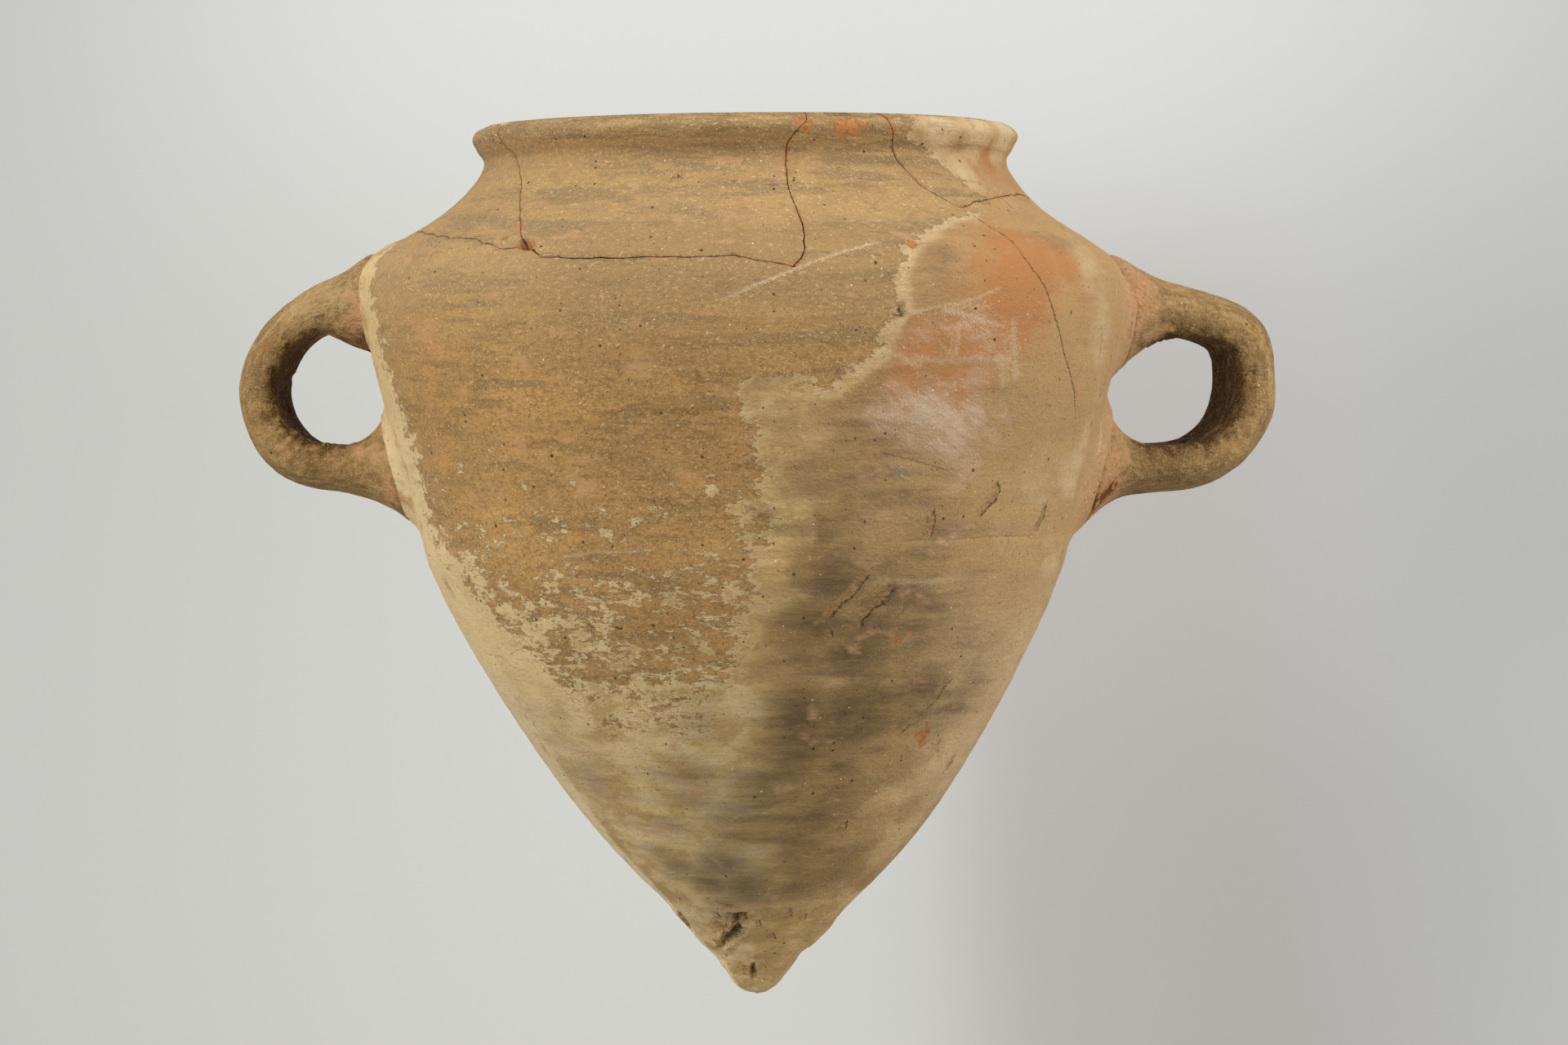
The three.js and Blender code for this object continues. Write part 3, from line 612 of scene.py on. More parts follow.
def nearest_line(points, outward, lines):
    """Signed distance to the nearest of several lines, in half widths of that line, and its
    strength, which fades over its last tenth at each end."""
    best = np.full(len(points), FAR)
    strength = np.zeros(len(points))
    for line, half_width, strong in lines:
        signed, way = to_line(points, outward, line)
        signed = signed / half_width
        nearer = np.abs(signed) < np.abs(best)
        strength = np.where(nearer, strong * off_ends(way, -0.01, 0.1), strength)
        best = np.where(nearer, signed, best)
    return np.clip(best, -12, 12), strength


def weathering(points, outward, turn, height):
    """How far the outside stands from its ideal surface, in mm: the hand's lumps, the throwing
    rings, wiped streaks, pitted wear, gouges and the seam. It is nearly all inwards."""
    rings = noise(np.column_stack([turn / 40, turn / 40, height]), (1, 1, 2.6), 11)
    streaks = fractal(points, (9, 9, 1.1), 21)
    offset = -0.35 + 0.35 * noise(points, 34, 3) + 0.10 * rings * smoothstep(height, 20, 60)
    offset += 0.05 * streaks + 0.12 * fractal(points, 6, 31)
    for line, width, depth in GOUGES:
        signed, _ = to_line(points, outward, line)
        ragged = width * (1 + 0.45 * noise(points, 1.7, 41) + 0.3 * noise(points, 0.7, 42))
        offset -= depth * (0.8 + 0.5 * noise(points, 1.1, 43)) * np.exp(-(signed / ragged) ** 4)
        offset += 0.2 * depth * bell((np.abs(signed) - 1.7 * width) / (0.5 * width))
    for line, _, strong in HAIRLINES + TEARS[:OPEN_TEARS]:
        signed, way = to_line(points, outward, line)
        offset -= 0.25 * strong * off_ends(way, 0, 0.1) * bell(signed / 0.45)
    signed, way = to_line(points, outward, SEAM_RIGHT)
    groove = bell(signed / 0.7) * off_ends(way, 0, 0.12)
    offset -= 0.25 * groove * (0.7 + 0.5 * noise(points, 5, 51))
    offset += 0.25 * smoothstep(-signed, -0.5, 1.5) * bell(signed / 6) * (np.abs(turn - 52) < 27)
    notch = np.linalg.norm((points - mark(*SEAM_NOTCH)) / (4.2, 4.2, 1.5), axis=1)
    offset -= 2.4 * bell(notch)
    offset -= 0.8 * near(points, CHIP_SPOTS[:DEEP_CHIPS])
    offset -= 0.3 * near(points, CHIP_SPOTS[DEEP_CHIPS:])
    toe_lumps = smoothstep(-height, -34, -16)
    offset += toe_lumps * (0.9 * noise(points, 8, 61) + 0.35 * fractal(points, 2.6, 62) - 0.7)
    return offset


# Handles

MIDDLE_STEPS = 60            # steps between two points of a strap's middle line
ROOT_BITE = 9.0              # how far that line runs on past the wall's surface


def middle_line(size):
    """Middle of a strap in its own plane, from upper to lower root: a curve through points set
    by the handle's reach, whose knots are spaced by the root of each chord."""
    top, bottom, reach = size["top"], size["bottom"], size["reach"]
    span = top - bottom
    upper_root = outside_radius(top + size["rise"])
    lower_root = outside_radius(bottom)
    upper_out = reach - upper_root
    lower_out = reach - lower_root
    points = np.array([
        (upper_root - ROOT_BITE, top + size["rise"]),
        (upper_root + 0.1 * upper_out, top + 0.6 * size["rise"]),
        (upper_root + 0.5 * upper_out, top),
        (upper_root + size["corner_out"] * upper_out, top - size["corner_drop"] * span),
        (reach, top - 0.48 * span),
        (lower_root + 0.93 * lower_out, bottom + 0.24 * span),
        (lower_root + 0.74 * lower_out, bottom + 0.05 * span),
        (lower_root + 0.42 * lower_out, bottom),
        (lower_root - ROOT_BITE, bottom + 0.04 * span),
    ])
    padded = np.vstack([2 * points[0] - points[1], points, 2 * points[-1] - points[-2]])
    knots = np.sqrt(np.linalg.norm(np.diff(padded, axis=0), axis=1))[:, None]
    before, start, end, after = (padded[n:len(points) - 1 + n] for n in range(4))
    first, middle, last = (knots[n:len(points) - 1 + n] for n in range(3))
    leave = ((start - before) / first - (end - before) / (first + middle)) * middle + end - start
    arrive = (end - start) + ((after - end) / last - (after - start) / (middle + last)) * middle
    return cubics(start, end, leave, arrive, MIDDLE_STEPS)


def strap_frame(size, rings):
    """Even steps along the middle line between the two roots: place, direction, and half
    thickness and half width, which swell towards the roots as a bell."""
    middle = middle_line(size)
    arc = np.append(0, np.cumsum(np.linalg.norm(np.diff(middle, axis=0), axis=1)))
    inside = middle[:, 0] > outside_radius(middle[:, 1]) - ROOT_DEPTH
    from_arc, to_arc = arc[inside][[0, -1]]
    way = np.linspace(from_arc, to_arc, rings)
    place = np.stack([np.interp(way, arc, middle[:, n]) for n in range(2)], axis=-1)
    along = np.gradient(place, way, axis=0)
    along /= np.linalg.norm(along, axis=1)[:, None]
    from_root = np.maximum(0, np.minimum(way - from_arc, to_arc - way) - ROOT_DEPTH)
    swell = bell(from_root / ROOT_REACH)
    half_thick = blend(size["thickness"], size["root_thickness"], swell) / 2
    half_wide = blend(size["width"], size["root_width"], swell) / 2
    return place, along, half_thick, half_wide, swell, way - from_arc


def in_strap_plane(points, size):
    """The vessel's coordinates turned into a strap's: out from the axis, sideways and up."""
    return turned(points - lean_of(points), 90 - size["turn"])


def out_of_strap_plane(points, size):
    """The other way round."""
    return turned(points, size["turn"] - 90) + lean_of(points)


def to_strap(points, size):
    """Distance in mm from each point to a strap's oval surface, at its nearest section."""
    place, along, half_thick, half_wide, _, _ = strap_frame(size, STRAP_SECTIONS)
    local = in_strap_plane(points, size)
    # Points out of a strap's reach stay far from it
    distance = np.full(len(points), FAR)
    close = np.flatnonzero((local[:, 0] > 40) & (np.abs(local[:, 1]) < 45)
                           & (np.abs(local[:, 2] - size["bottom"] - 19) < 60))
    if len(close) == 0:
        return distance
    gap = local[close][:, [0, 2]][:, None] - place[None]
    nearest = (gap ** 2).sum(axis=2).argmin(axis=1)
    chosen = gap[np.arange(len(close)), nearest]
    out = chosen[:, 0] * along[nearest, 1] - chosen[:, 1] * along[nearest, 0]
    wide = local[close, 1]
    thick, width = half_thick[nearest], half_wide[nearest]
    ratio = np.hypot(out / thick, wide / width) + 1e-6
    slope = np.hypot(out / thick ** 2, wide / width ** 2) + 1e-6
    distance[close] = ratio * (ratio - 1) / slope
    return distance


def fillet(distance, points, size):
    """Height of the clay smeared into a corner, at a distance from the other surface: a quarter
    of the fillet's width at the corner, falling as a square to nothing at its edge. It fades on
    top of the upper root, where the corner is shallow."""
    middle = 0.5 * (size["top"] + size["bottom"])
    upper = smoothstep(points[:, 2], middle - 5, middle + 5)
    on_top = smoothstep(points[:, 2], size["top"] + 1, size["top"] + 10)
    width = blend(blend(size["fillet"], size["upper_fillet"], upper), size["fillet"], on_top)
    height = np.zeros_like(distance)
    for _ in range(6):
        gap = np.clip((np.maximum(distance, 0) - height) / width, 0, 1)
        height = width / 4 * (1 - gap) ** 2
    return np.where(distance > width * 1.3, 0, height * blend(1, size["top_fillet"], on_top))


# Meshes

class Clay:
    """The points, faces, finishes and marks of one piece, while it is worked out."""

    def __init__(self):
        self.points, self.marks, self.faces, self.finish = [], [], [], []
        self.count = 0

    def lay(self, points, marks):
        """Adds a grid of points, rows by columns, and gives their numbers in the same grid."""
        rows, columns = points.shape[:2]
        self.points.append(points.reshape(-1, 3))
        self.marks.append({name: np.broadcast_to(value, (rows, columns)).reshape(-1)
                           for name, value in marks.items()})
        numbers = self.count + np.arange(rows * columns).reshape(rows, columns)
        self.count += rows * columns
        return numbers

    def cover(self, numbers, finish):
        """Four-cornered faces between neighbouring rows and columns of a grid of numbers. They
        face the way that is square to both, columns turning first and rows second."""
        quads = np.stack([numbers[:-1, :-1], numbers[:-1, 1:], numbers[1:, 1:], numbers[1:, :-1]],
                         axis=-1).reshape(-1, 4)
        self.faces.append(quads)
        self.finish.append(np.full(len(quads), finish))

    def fan(self, centre, ring, finish):
        """Triangles from a centre point to each step of a ring."""
        ring = np.asarray(ring)
        triangles = np.column_stack([np.full(len(ring) - 1, centre), ring[:-1], ring[1:]])
        self.faces.append(triangles)
        self.finish.append(np.full(len(triangles), finish))


def closed(grid):
    """A grid of numbers whose first column comes again after its last."""
    return np.column_stack([grid, grid[:, :1]])


SHARPEST = 40                # degrees between faces that still look smooth
BOX_GAP = 0.02               # how far, in mm, the pieces keep inside the vessel's stated box


def mesh_piece(name, clay, materials):
    """A Blender object from a finished piece of clay."""
    points = np.clip(np.vstack(clay.points), cad_low + BOX_GAP, cad_high - BOX_GAP)
    mesh = bpy.data.meshes.new(name)
    mesh.from_pydata(points * MM, [], [face for faces in clay.faces for face in faces.tolist()])
    for mark_name in clay.marks[0]:
        values = np.concatenate([marks[mark_name] for marks in clay.marks])
        layer = mesh.attributes.new(mark_name, "FLOAT", "POINT")
        layer.data.foreach_set("value", values.astype(np.float32))
    for material in materials:
        mesh.materials.append(material)
    mesh.polygons.foreach_set("material_index", np.concatenate(clay.finish).astype(np.int32))
    mesh.polygons.foreach_set("use_smooth", np.ones(len(mesh.polygons), dtype=bool))
    mesh.set_sharp_from_angle(angle=math.radians(SHARPEST))
    mesh.validate()
    mesh.update()
    piece = bpy.data.objects.new(name, mesh)
    bpy.context.scene.collection.objects.link(piece)
    return piece


MARK_NAMES = ["wear", "cloud", "orange", "pink_sheen", "yellow", "grey", "chip", "crack", "crack_on",
              "scratch", "scratch_on", "tear", "tear_on", "broken", "root"]


def wall_grid(turn, height, radius, inside):
    """Finished points and marks of part of the wall: the ideal surface, weathered, with the
    fillets of the handles' roots added, and the lip's dip at the left."""
    shape = np.broadcast(turn, height, radius).shape
    turn, height, radius = (np.broadcast_to(part, shape).reshape(-1).astype(float)
                            for part in (turn, height, radius))
    points = spun(turn, radius, height)
    outward = outward_at(turn, height, inside)
    if inside:
        marks = {name: np.zeros(len(turn)) for name in MARK_NAMES}
        rings = noise(np.column_stack([turn / 50, turn / 50, height]), (1, 1, 5), 71)
        offset = -0.15 + 0.12 * rings
    else:
        marks = wall_marks(points, outward, turn, height)
        to_left, to_right = (to_strap(points, size) for size in (LEFT_HANDLE, RIGHT_HANDLE))
        marks["root"] = np.maximum(0.5 * LEFT_HANDLE["blush"] * smoothstep(-to_left, -24, -4),
                                   RIGHT_HANDLE["blush"] * smoothstep(-to_right, -24, -4))
        offset = weathering(points, outward, turn, height)
        offset += fillet(to_left, points, LEFT_HANDLE) + fillet(to_right, points, RIGHT_HANDLE)
        broken = np.minimum(to_breaks(turn, height), 9)
        marks["broken"] = broken
        worn_edge = np.exp(-broken / 0.55) * (0.5 + 0.5 * noise(points, 3.1, 81))
        chips = np.exp(-broken / 1.3) * smoothstep(noise(points, 2.3, 82), 0.45, 0.8)
        offset -= 0.16 * worn_edge + 0.45 * chips
        offset -= 0.5 * smoothstep(height, 209, 214) * smoothstep(noise(points, 5, 83), 0.2, 0.9)
    points = points + outward * offset[:, None]
    dip = RIM_SAG * smoothstep(height, BELLY_HEIGHT, TOTAL_HEIGHT)
    points[:, 2] -= dip * (0.5 - 0.5 * points[:, 0] / LIP_RADIUS)
    return points.reshape(*shape, 3), {name: marks[name].reshape(shape) for name in MARK_NAMES}


# Breaks and the grid of the upper wall

def wander(way, size, seed):
    """A fine irregular line: fractal noise along one number."""
    flat = np.asarray(way, dtype=float).reshape(-1)
    return fractal(np.column_stack([flat, 0 * flat, 0 * flat]), size, seed).reshape(np.shape(way))


def break_turn(line, drop, seed):
    """Degrees at which an upright break crosses a drop below the lip, with its fine wandering."""
    turns, shares = np.array(line).T
    return np.interp(drop, shares * BELLY_DROP, turns) + 0.35 * wander(drop, 3.0, seed)


def ring_drop(turn):
    """Drop below the lip of the break that runs round the shoulder."""
    turns, shares = np.array(RING_BREAK).T
    return np.interp(turn, turns, shares * BELLY_DROP) + 0.3 * wander(turn, 2.6, 5)


# The upright breaks, each with the seed of its wandering
UPRIGHT_BREAKS = [(LEFT_BREAK, 1), (MIDDLE_BREAK, 2), (RIGHT_BREAK, 3), (REAR_BREAK, 4)]
# The same as the edges of the blocks between them, with the degrees to add
BLOCK_EDGES = [(*UPRIGHT_BREAKS[-1], -360)] + [(*edge, 0) for edge in UPRIGHT_BREAKS]
TONGUE = 2                   # the block that is one with the wall, between the front breaks
FRONT_SIDE = 105.0           # degrees from the front, past which the columns lie wider apart
RIM_DROP = 30.0              # depth of the rim's sherds below the lip, about


def to_breaks(turn, height):
    """Rough distance in mm to the nearest glued break: across it, by its local slope."""
    drop = TOTAL_HEIGHT - height
    degree = np.radians(1) * outside_radius(height)
    ring = ring_drop(turn)
    step = 0.6
    slope = (ring_drop(turn + step) - ring_drop(turn - step)) / (2 * step * degree)
    lift = np.interp(height, PROFILE[:, 1], 1 / np.maximum(PROFILE_ALONG[:, 1], 0.3))
    across = np.abs(drop - ring) * lift / np.hypot(1, slope)
    tongue = (turn > MIDDLE_BREAK[-1][0]) & (turn < RIGHT_BREAK[-1][0])
    nearest = np.where(tongue, 9, across)
    for line, seed in UPRIGHT_BREAKS:
        for full_turn in (0, -360):
            at = break_turn(line, drop, seed) + full_turn
            slant = break_turn(line, drop + 0.5, seed) - break_turn(line, drop - 0.5, seed)
            gap = np.abs(turn - at) * degree / np.hypot(1, slant * degree / lift)
            over = np.maximum(drop - line[-1][1] * BELLY_DROP, 0) * lift
            nearest = np.minimum(nearest, np.hypot(gap, over))
    return nearest


def column_turns():
    """Degrees of the columns at the shoulder's break, block by block between upright breaks:
    half a degree or less where the front shows, about a degree behind."""
    rear, left, middle, right = (line[-1][0] for line, *_ in BLOCK_EDGES[:-1])
    return [
        np.append(np.linspace(rear - 360, -FRONT_SIDE, 66)[:-1],
                  np.linspace(-FRONT_SIDE, left, 150)),
        np.linspace(left, middle, 140),
        np.linspace(middle, right, 70),
        np.append(np.linspace(right, FRONT_SIDE, 126)[:-1], np.linspace(FRONT_SIDE, rear, 76)),
    ]


BLOCKS = column_turns()


def row_shares():
    """Heights of the rim's rows, from 0 at the shoulder's break to 1 at the lip's top, spaced
    evenly along the profile."""
    from_arc = arc_at(TOTAL_HEIGHT - RIM_DROP)
    height = height_at(np.linspace(from_arc, PROFILE_ARC[-1], RIM_ROWS))
    return (height - height[0]) / (height[-1] - height[0])


def rim_block(number, ring_gap):
    """Degrees and heights of one block of the rim, rows by columns. Each column keeps its share
    of the way between the two upright breaks, and each row its share of the way up."""
    columns = BLOCKS[number]
    share = (columns - columns[0]) / (columns[-1] - columns[0])
    drop_at_ring = ring_drop(columns) - ring_gap
    drop = (1 - row_shares())[:, None] * drop_at_ring[None]
    (start, start_seed, start_back), (end, end_seed, end_back) = BLOCK_EDGES[number:number + 2]
    degree = np.radians(1) * NECK_RADIUS
    start_gap = open_line(drop[:, 0], 10 + start_seed) / degree
    end_gap = open_line(drop[:, -1], 20 + end_seed) / degree
    start_turn = break_turn(start, drop[:, 0], start_seed) + start_back + start_gap
    end_turn = break_turn(end, drop[:, -1], end_seed) + end_back - end_gap
    return blend(start_turn[:, None], end_turn[:, None], share[None]), TOTAL_HEIGHT - drop


def open_line(way, seed):
    """Half width of the open line at a glued break, a little wider here and there."""
    return GLUE_LINE + 0.09 * np.maximum(wander(way, 4.0, seed), 0)


def ring_open_line(turn):
    """The same round the shoulder, as a height: less where the wall lies flatter."""
    return open_line(turn, 7) * along_at(TOTAL_HEIGHT - ring_drop(turn))[1]


def rim_loop(clay, turn, height):
    """Lays the outside of a block up to the lip, the flat ring and the inside back down, as one
    run of rows, and gives the numbers of the three parts."""
    outer = clay.lay(*wall_grid(turn, height, outside_radius(height), False))
    flat_share = np.array([0.25, 0.5, 0.75])[:, None]
    flat_radius = LIP_FLAT_RADIUS - LIP_FLAT_WIDTH * flat_share
    flat = clay.lay(*wall_grid(turn[-1:], TOTAL_HEIGHT - 0.01, flat_radius, False))
    down = height[::-1]
    inner = clay.lay(*wall_grid(turn[::-1], down, inside_radius(down), True))
    clay.cover(np.vstack([outer, flat, inner[:1]]), OUTSIDE)
    clay.cover(inner, INSIDE)
    return outer, flat, inner


def close_side(clay, outer, flat, inner, facing):
    """Broken face up one side of a block: rungs between its outside and its inside."""
    inner = inner[::-1]
    ladder = np.column_stack([outer, inner])
    clay.cover(ladder.T if facing > 0 else ladder[:, ::-1].T, BROKEN)
    rim = np.concatenate([outer[-1:], flat, inner[-1:]])
    clay.fan(rim[0], rim[1:] if facing < 0 else rim[:0:-1], BROKEN)


def rim_sherd(number):
    """A glued sherd of the rim: a closed block between two upright breaks and the shoulder's."""
    clay = Clay()
    turn, height = rim_block(number, ring_open_line(BLOCKS[number]))
    outer, flat, inner = rim_loop(clay, turn, height)
    clay.cover(np.vstack([inner[-1:], outer[:1]]), BROKEN)
    close_side(clay, outer[:, 0], flat[:, 0], inner[:, 0], -1)
    close_side(clay, outer[:, -1], flat[:, -1], inner[:, -1], 1)
    return clay


def body_wall():
    """The shoulder part: outside from the seam to the shoulder's break, a tongue that still
    reaches the lip, the inside, and the bevelled seam below."""
    clay = Clay()
    columns = np.concatenate([block[:-1] for block in BLOCKS])
    top_height = TOTAL_HEIGHT - ring_drop(columns) - ring_open_line(columns)
    up = np.linspace(0, 1, WALL_ROWS)[:, None]
    height = height_at(blend(arc_at(SEAM_HEIGHT), arc_at(top_height), up))
    outer = clay.lay(*wall_grid(columns[None], height, outside_radius(height), False))
    down = np.linspace(0, 1, WALL_INNER_ROWS)[:, None]
    inner_height = blend(top_height, SEAM_HEIGHT + SEAM_BEVEL, down)
    inner = clay.lay(*wall_grid(columns[None], inner_height, inside_radius(inner_height), True))
    outer, inner = closed(outer), closed(inner)
    clay.cover(outer, OUTSIDE)
    clay.cover(inner, INSIDE)
    clay.cover(np.vstack([inner[-1:], outer[:1]]), BROKEN)

    tongue_start = len(BLOCKS[0]) + len(BLOCKS[1]) - 2
    tongue_end = tongue_start + len(BLOCKS[TONGUE]) - 1
    ledge = np.vstack([outer[-1:], inner[:1]])
    clay.cover(ledge[:, :tongue_start + 1], BROKEN)
    clay.cover(ledge[:, tongue_end:], BROKEN)
    turn, rim_height = rim_block(TONGUE, -ring_open_line(BLOCKS[TONGUE]))
    upper = rim_loop(clay, turn[1:], rim_height[1:])
    outer_foot = outer[-1:, tongue_start:tongue_end + 1]
    inner_foot = inner[:1, tongue_start:tongue_end + 1]
    clay.cover(np.vstack([outer_foot, upper[0][:1]]), OUTSIDE)
    clay.cover(np.vstack([upper[2][-1:], inner_foot]), INSIDE)
    for column, facing in ((0, -1), (-1, 1)):
        close_side(clay, np.append(outer_foot[0, column], upper[0][:, column]),
                   upper[1][:, column], np.append(upper[2][:, column], inner_foot[0, column]),
                   facing)
    return clay


def toe_dome(clay, columns, share, gap):
    """Rings of the toe's dome at shares of its radius, raised by a gap."""
    height = TOE_HEIGHT + gap + TOE_DOME * np.sin(0.5 * np.pi * (1 - share))
    return closed(clay.lay(*wall_grid(columns, height, TOE_RADIUS * share, True)))


def on_axis(clay, height, inside):
    """Number of a new point on the vessel's axis."""
    return clay.lay(*wall_grid(np.zeros((1, 1)), height, 0, inside))[0, 0]


DOME_SHARES = np.array([0.85, 0.5, 0.15])[:, None]


def lower_cone():
    """The cone: outside from the toe's joint to the seam, its bevel, and the inside down to the
    pointed floor, with the socket that the toe's dome fills."""
    clay = Clay()
    columns = np.linspace(-180, 180, CONE_COLUMNS, endpoint=False)[None]
    height = height_at(np.linspace(0, arc_at(SEAM_HEIGHT), CONE_ROWS))[:, None]
    outer = closed(clay.lay(*wall_grid(columns, height, outside_radius(height), False)))
    share = np.linspace(0, 1, CONE_INNER_ROWS)[:, None] ** 0.9
    down = blend(SEAM_HEIGHT + SEAM_BEVEL, FLOOR_HEIGHT + 0.5, share)
    inner = closed(clay.lay(*wall_grid(columns, down, inside_radius(down), True)))
    socket = toe_dome(clay, columns, DOME_SHARES[::-1], LUTED_LINE)
    clay.cover(np.vstack([socket, outer[:1]]), BROKEN)
    clay.cover(outer, OUTSIDE)
    clay.cover(np.vstack([outer[-1:], inner[:1]]), BROKEN)
    clay.cover(inner, INSIDE)
    crown_height = TOE_HEIGHT + LUTED_LINE + TOE_DOME
    clay.fan(on_axis(clay, FLOOR_HEIGHT, True), inner[-1], INSIDE)
    clay.fan(on_axis(clay, crown_height, True), socket[0, ::-1], BROKEN)
    return clay


def toe_knob():
    """The toe: a lump turned from a curved flank, domed on top where it sits in the cone."""
    clay = Clay()
    columns = np.linspace(-180, 180, TOE_COLUMNS, endpoint=False)[None]
    flank = TOE_FLANK.copy()
    flank[0] = (0.3, 0.12)
    radius, height = (part[:, None] for part in flank.T)
    outer = closed(clay.lay(*wall_grid(columns, height, radius, False)))
    dome = toe_dome(clay, columns, DOME_SHARES, 0)
    clay.cover(outer, OUTSIDE)
    clay.cover(np.vstack([outer[-1:], dome]), BROKEN)
    clay.fan(on_axis(clay, 0.1, False), outer[0, ::-1], OUTSIDE)
    clay.fan(on_axis(clay, TOE_HEIGHT + TOE_DOME, True), dome[-1], BROKEN)
    return clay


# Whitish and red spots on the straps, as places in mm with a radius and a strength
HANDLE_PALE = {
    100: [((-121, -8, 128), 9, 0.3), ((-112, 0, 122), 8, 0.3), ((-108, 6, 170), 10, 0.7),
          ((-98, 6, 171), 9, 0.7)],
    200: [((126, 10, 160), 10, 0.5), ((121, 12, 134), 10, 0.7), ((132, 20, 148), 10, 0.7),
          ((112, 14, 168), 10, 0.3)],
}
HANDLE_CHIPS = {
    100: [((-121, 8, 160), 2.0, 0.9), ((-122, 7, 156), 1.8, 0.8), ((-120, 6, 163), 1.6, 0.7),
          ((-106, 6, 124), 2.0, 0.9), ((-97, 8, 158), 2.8, 1), ((-94, 8, 156.5), 2.4, 1),
          ((-113, 8, 155), 1.6, 0.8)],
    200: [((84, 6, 122), 3.4, 1.9), ((88, 7, 124), 2.8, 1.7), ((80.5, 5, 119), 2.6, 1.7),
          ((92, 8, 124.6), 2.0, 1.2),
          ((128.4, 12, 149), 0.9, 1.2), ((128.8, 12, 146), 0.9, 1.3), ((128.6, 12, 143), 0.8, 1.2)],
}
# Torn clay hanging under a strap or standing on it: place, radius and height in mm
HANDLE_LUMPS = {
    100: [((-103, 8, 158.5), 3.0, 0.7), ((-97, 8, 158), 2.6, 1.1), ((-108, 8, 156.5), 2.6, 0.9),
          ((-111, 6, 138.5), 9.0, 2.3), ((-94, 8, 156.5), 3.5, -1.8)],
    200: [((99, 4, 121.5), 3.6, 1.2), ((84, 5, 121.5), 3.0, -2.0), ((88.5, 5, 123), 1.8, 1.0),
          ((102, 22, 158.8), 6.5, 1.5)],
}


def strap_relief(points, angle, way, seed):
    """How far a strap stands from its ideal surface, in mm: the hand's lumps, strokes of wet
    fingers along it, worn hollows and torn clay."""
    stretched = np.column_stack([np.tile(np.sin(angle) * 9, len(way)),
                                 np.tile(np.cos(angle) * 5, len(way)), np.repeat(way, len(angle))])
    offset = -0.35 + 0.45 * noise(points, 11, seed)
    offset += 0.16 * fractal(stretched, (2.2, 2.2, 14), seed + 1)
    offset += 0.14 * fractal(points, 3.2, seed + 2)
    offset -= 0.5 * smoothstep(noise(points, 4, seed + 3), 0.55, 0.9)
    ragged = 1 + 0.6 * noise(points, 1.6, seed + 5)
    for centre, radius, lump in HANDLE_LUMPS[seed]:
        offset += lump * near_points(points, [(centre, radius, 1)]) * ragged
    return offset


def strap_handle(size, seed):
    """A pulled strap: a section with a rounded back and a flatter, slightly hollow inner face,
    carried along the middle line. Its ends are held under the wall's surface, and clay is
    smeared up from the wall where they meet."""
    clay = Clay()
    shape = STRAP_RINGS, STRAP_SIDES
    place, along, half_thick, half_wide, swell, way = strap_frame(size, STRAP_RINGS)
    angle = np.linspace(0, 2 * np.pi, STRAP_SIDES, endpoint=False)[None]
    inner_side = smoothstep(np.cos(angle), -0.1, 0.5) * (1 - swell[:, None])
    power = blend(1.0, 0.5, inner_side)
    thick = np.sign(np.cos(angle)) * np.abs(np.cos(angle)) ** power
    wide = np.sign(np.sin(angle)) * np.abs(np.sin(angle)) ** blend(1.0, 0.75, inner_side)
    thick = thick - 0.26 * inner_side * (1 - wide ** 2) ** 2
    out = thick * half_thick[:, None]
    local = np.stack([place[:, :1] + out * along[:, 1:], wide * half_wide[:, None],
                      place[:, 1:] - out * along[:, :1]], axis=-1).reshape(-1, 3)
    points = out_of_strap_plane(local, size)
    section = np.stack([np.cos(angle) / half_thick[:, None],
                        np.sin(angle) / half_wide[:, None]], axis=-1)
    section /= np.linalg.norm(section, axis=-1)[..., None]
    outward = np.stack([section[..., 0] * along[:, 1:], section[..., 1],
                        -section[..., 0] * along[:, :1]], axis=-1).reshape(-1, 3)
    outward = turned(outward, size["turn"] - 90)
    above = above_wall(points)
    offset = strap_relief(points, angle[0], way, seed) + fillet(above, points, size)
    points = held_under_wall(points + outward * offset[:, None])
    lower_arm = smoothstep(-place[:, 1], -155, -145)
    unshaded_root = blend(0.25, 0.85, lower_arm) * swell
    marks = {
        "along": np.broadcast_to(way[:, None], shape),
        "across": np.broadcast_to(np.sin(angle) * half_wide.mean(), shape),
        # Painted shade on the inner face, which looks towards the body and out of the light; less of
        # it at the roots
        "inner": smoothstep(np.cos(angle), -0.35, 0.9) * (1 - unshaded_root[:, None]),
        "root": size["blush"] * smoothstep(-above, -20, -4).reshape(shape),
        "pale": near_points(points, HANDLE_PALE[seed]).reshape(shape),
        "chip": near_points(points, HANDLE_CHIPS[seed]).reshape(shape),
    }
    points = points.reshape(*shape, 3)
    grid = closed(clay.lay(points, marks))
    clay.cover(grid[:, ::-1], OUTSIDE)
    for ring, order in ((0, 1), (-1, -1)):
        centre = points[ring].mean(axis=0)
        hub = clay.lay(held_under_wall(centre[None])[None],
                       {name: marks[name][ring:ring + 1 or None, :1] for name in marks})
        clay.fan(hub[0, 0], grid[ring, ::order], BROKEN)
    return clay


def above_wall(points):
    """Height of points over the wall's outside, square to it."""
    radius = np.hypot(points[:, 0] - lean_at(points[:, 2]), points[:, 1])
    return (radius - outside_radius(points[:, 2])) * along_at(points[:, 2])[1]


def held_under_wall(points):
    """Points deeper in the wall than the root's depth are moved out to that depth."""
    lean = lean_of(points)
    upright = points - lean
    least = outside_radius(points[:, 2]) - ROOT_DEPTH
    grow = np.maximum(least / np.hypot(upright[:, 0], upright[:, 1]), 1)
    return lean + upright * np.column_stack([grow, grow, np.ones(len(grow))])


# Materials

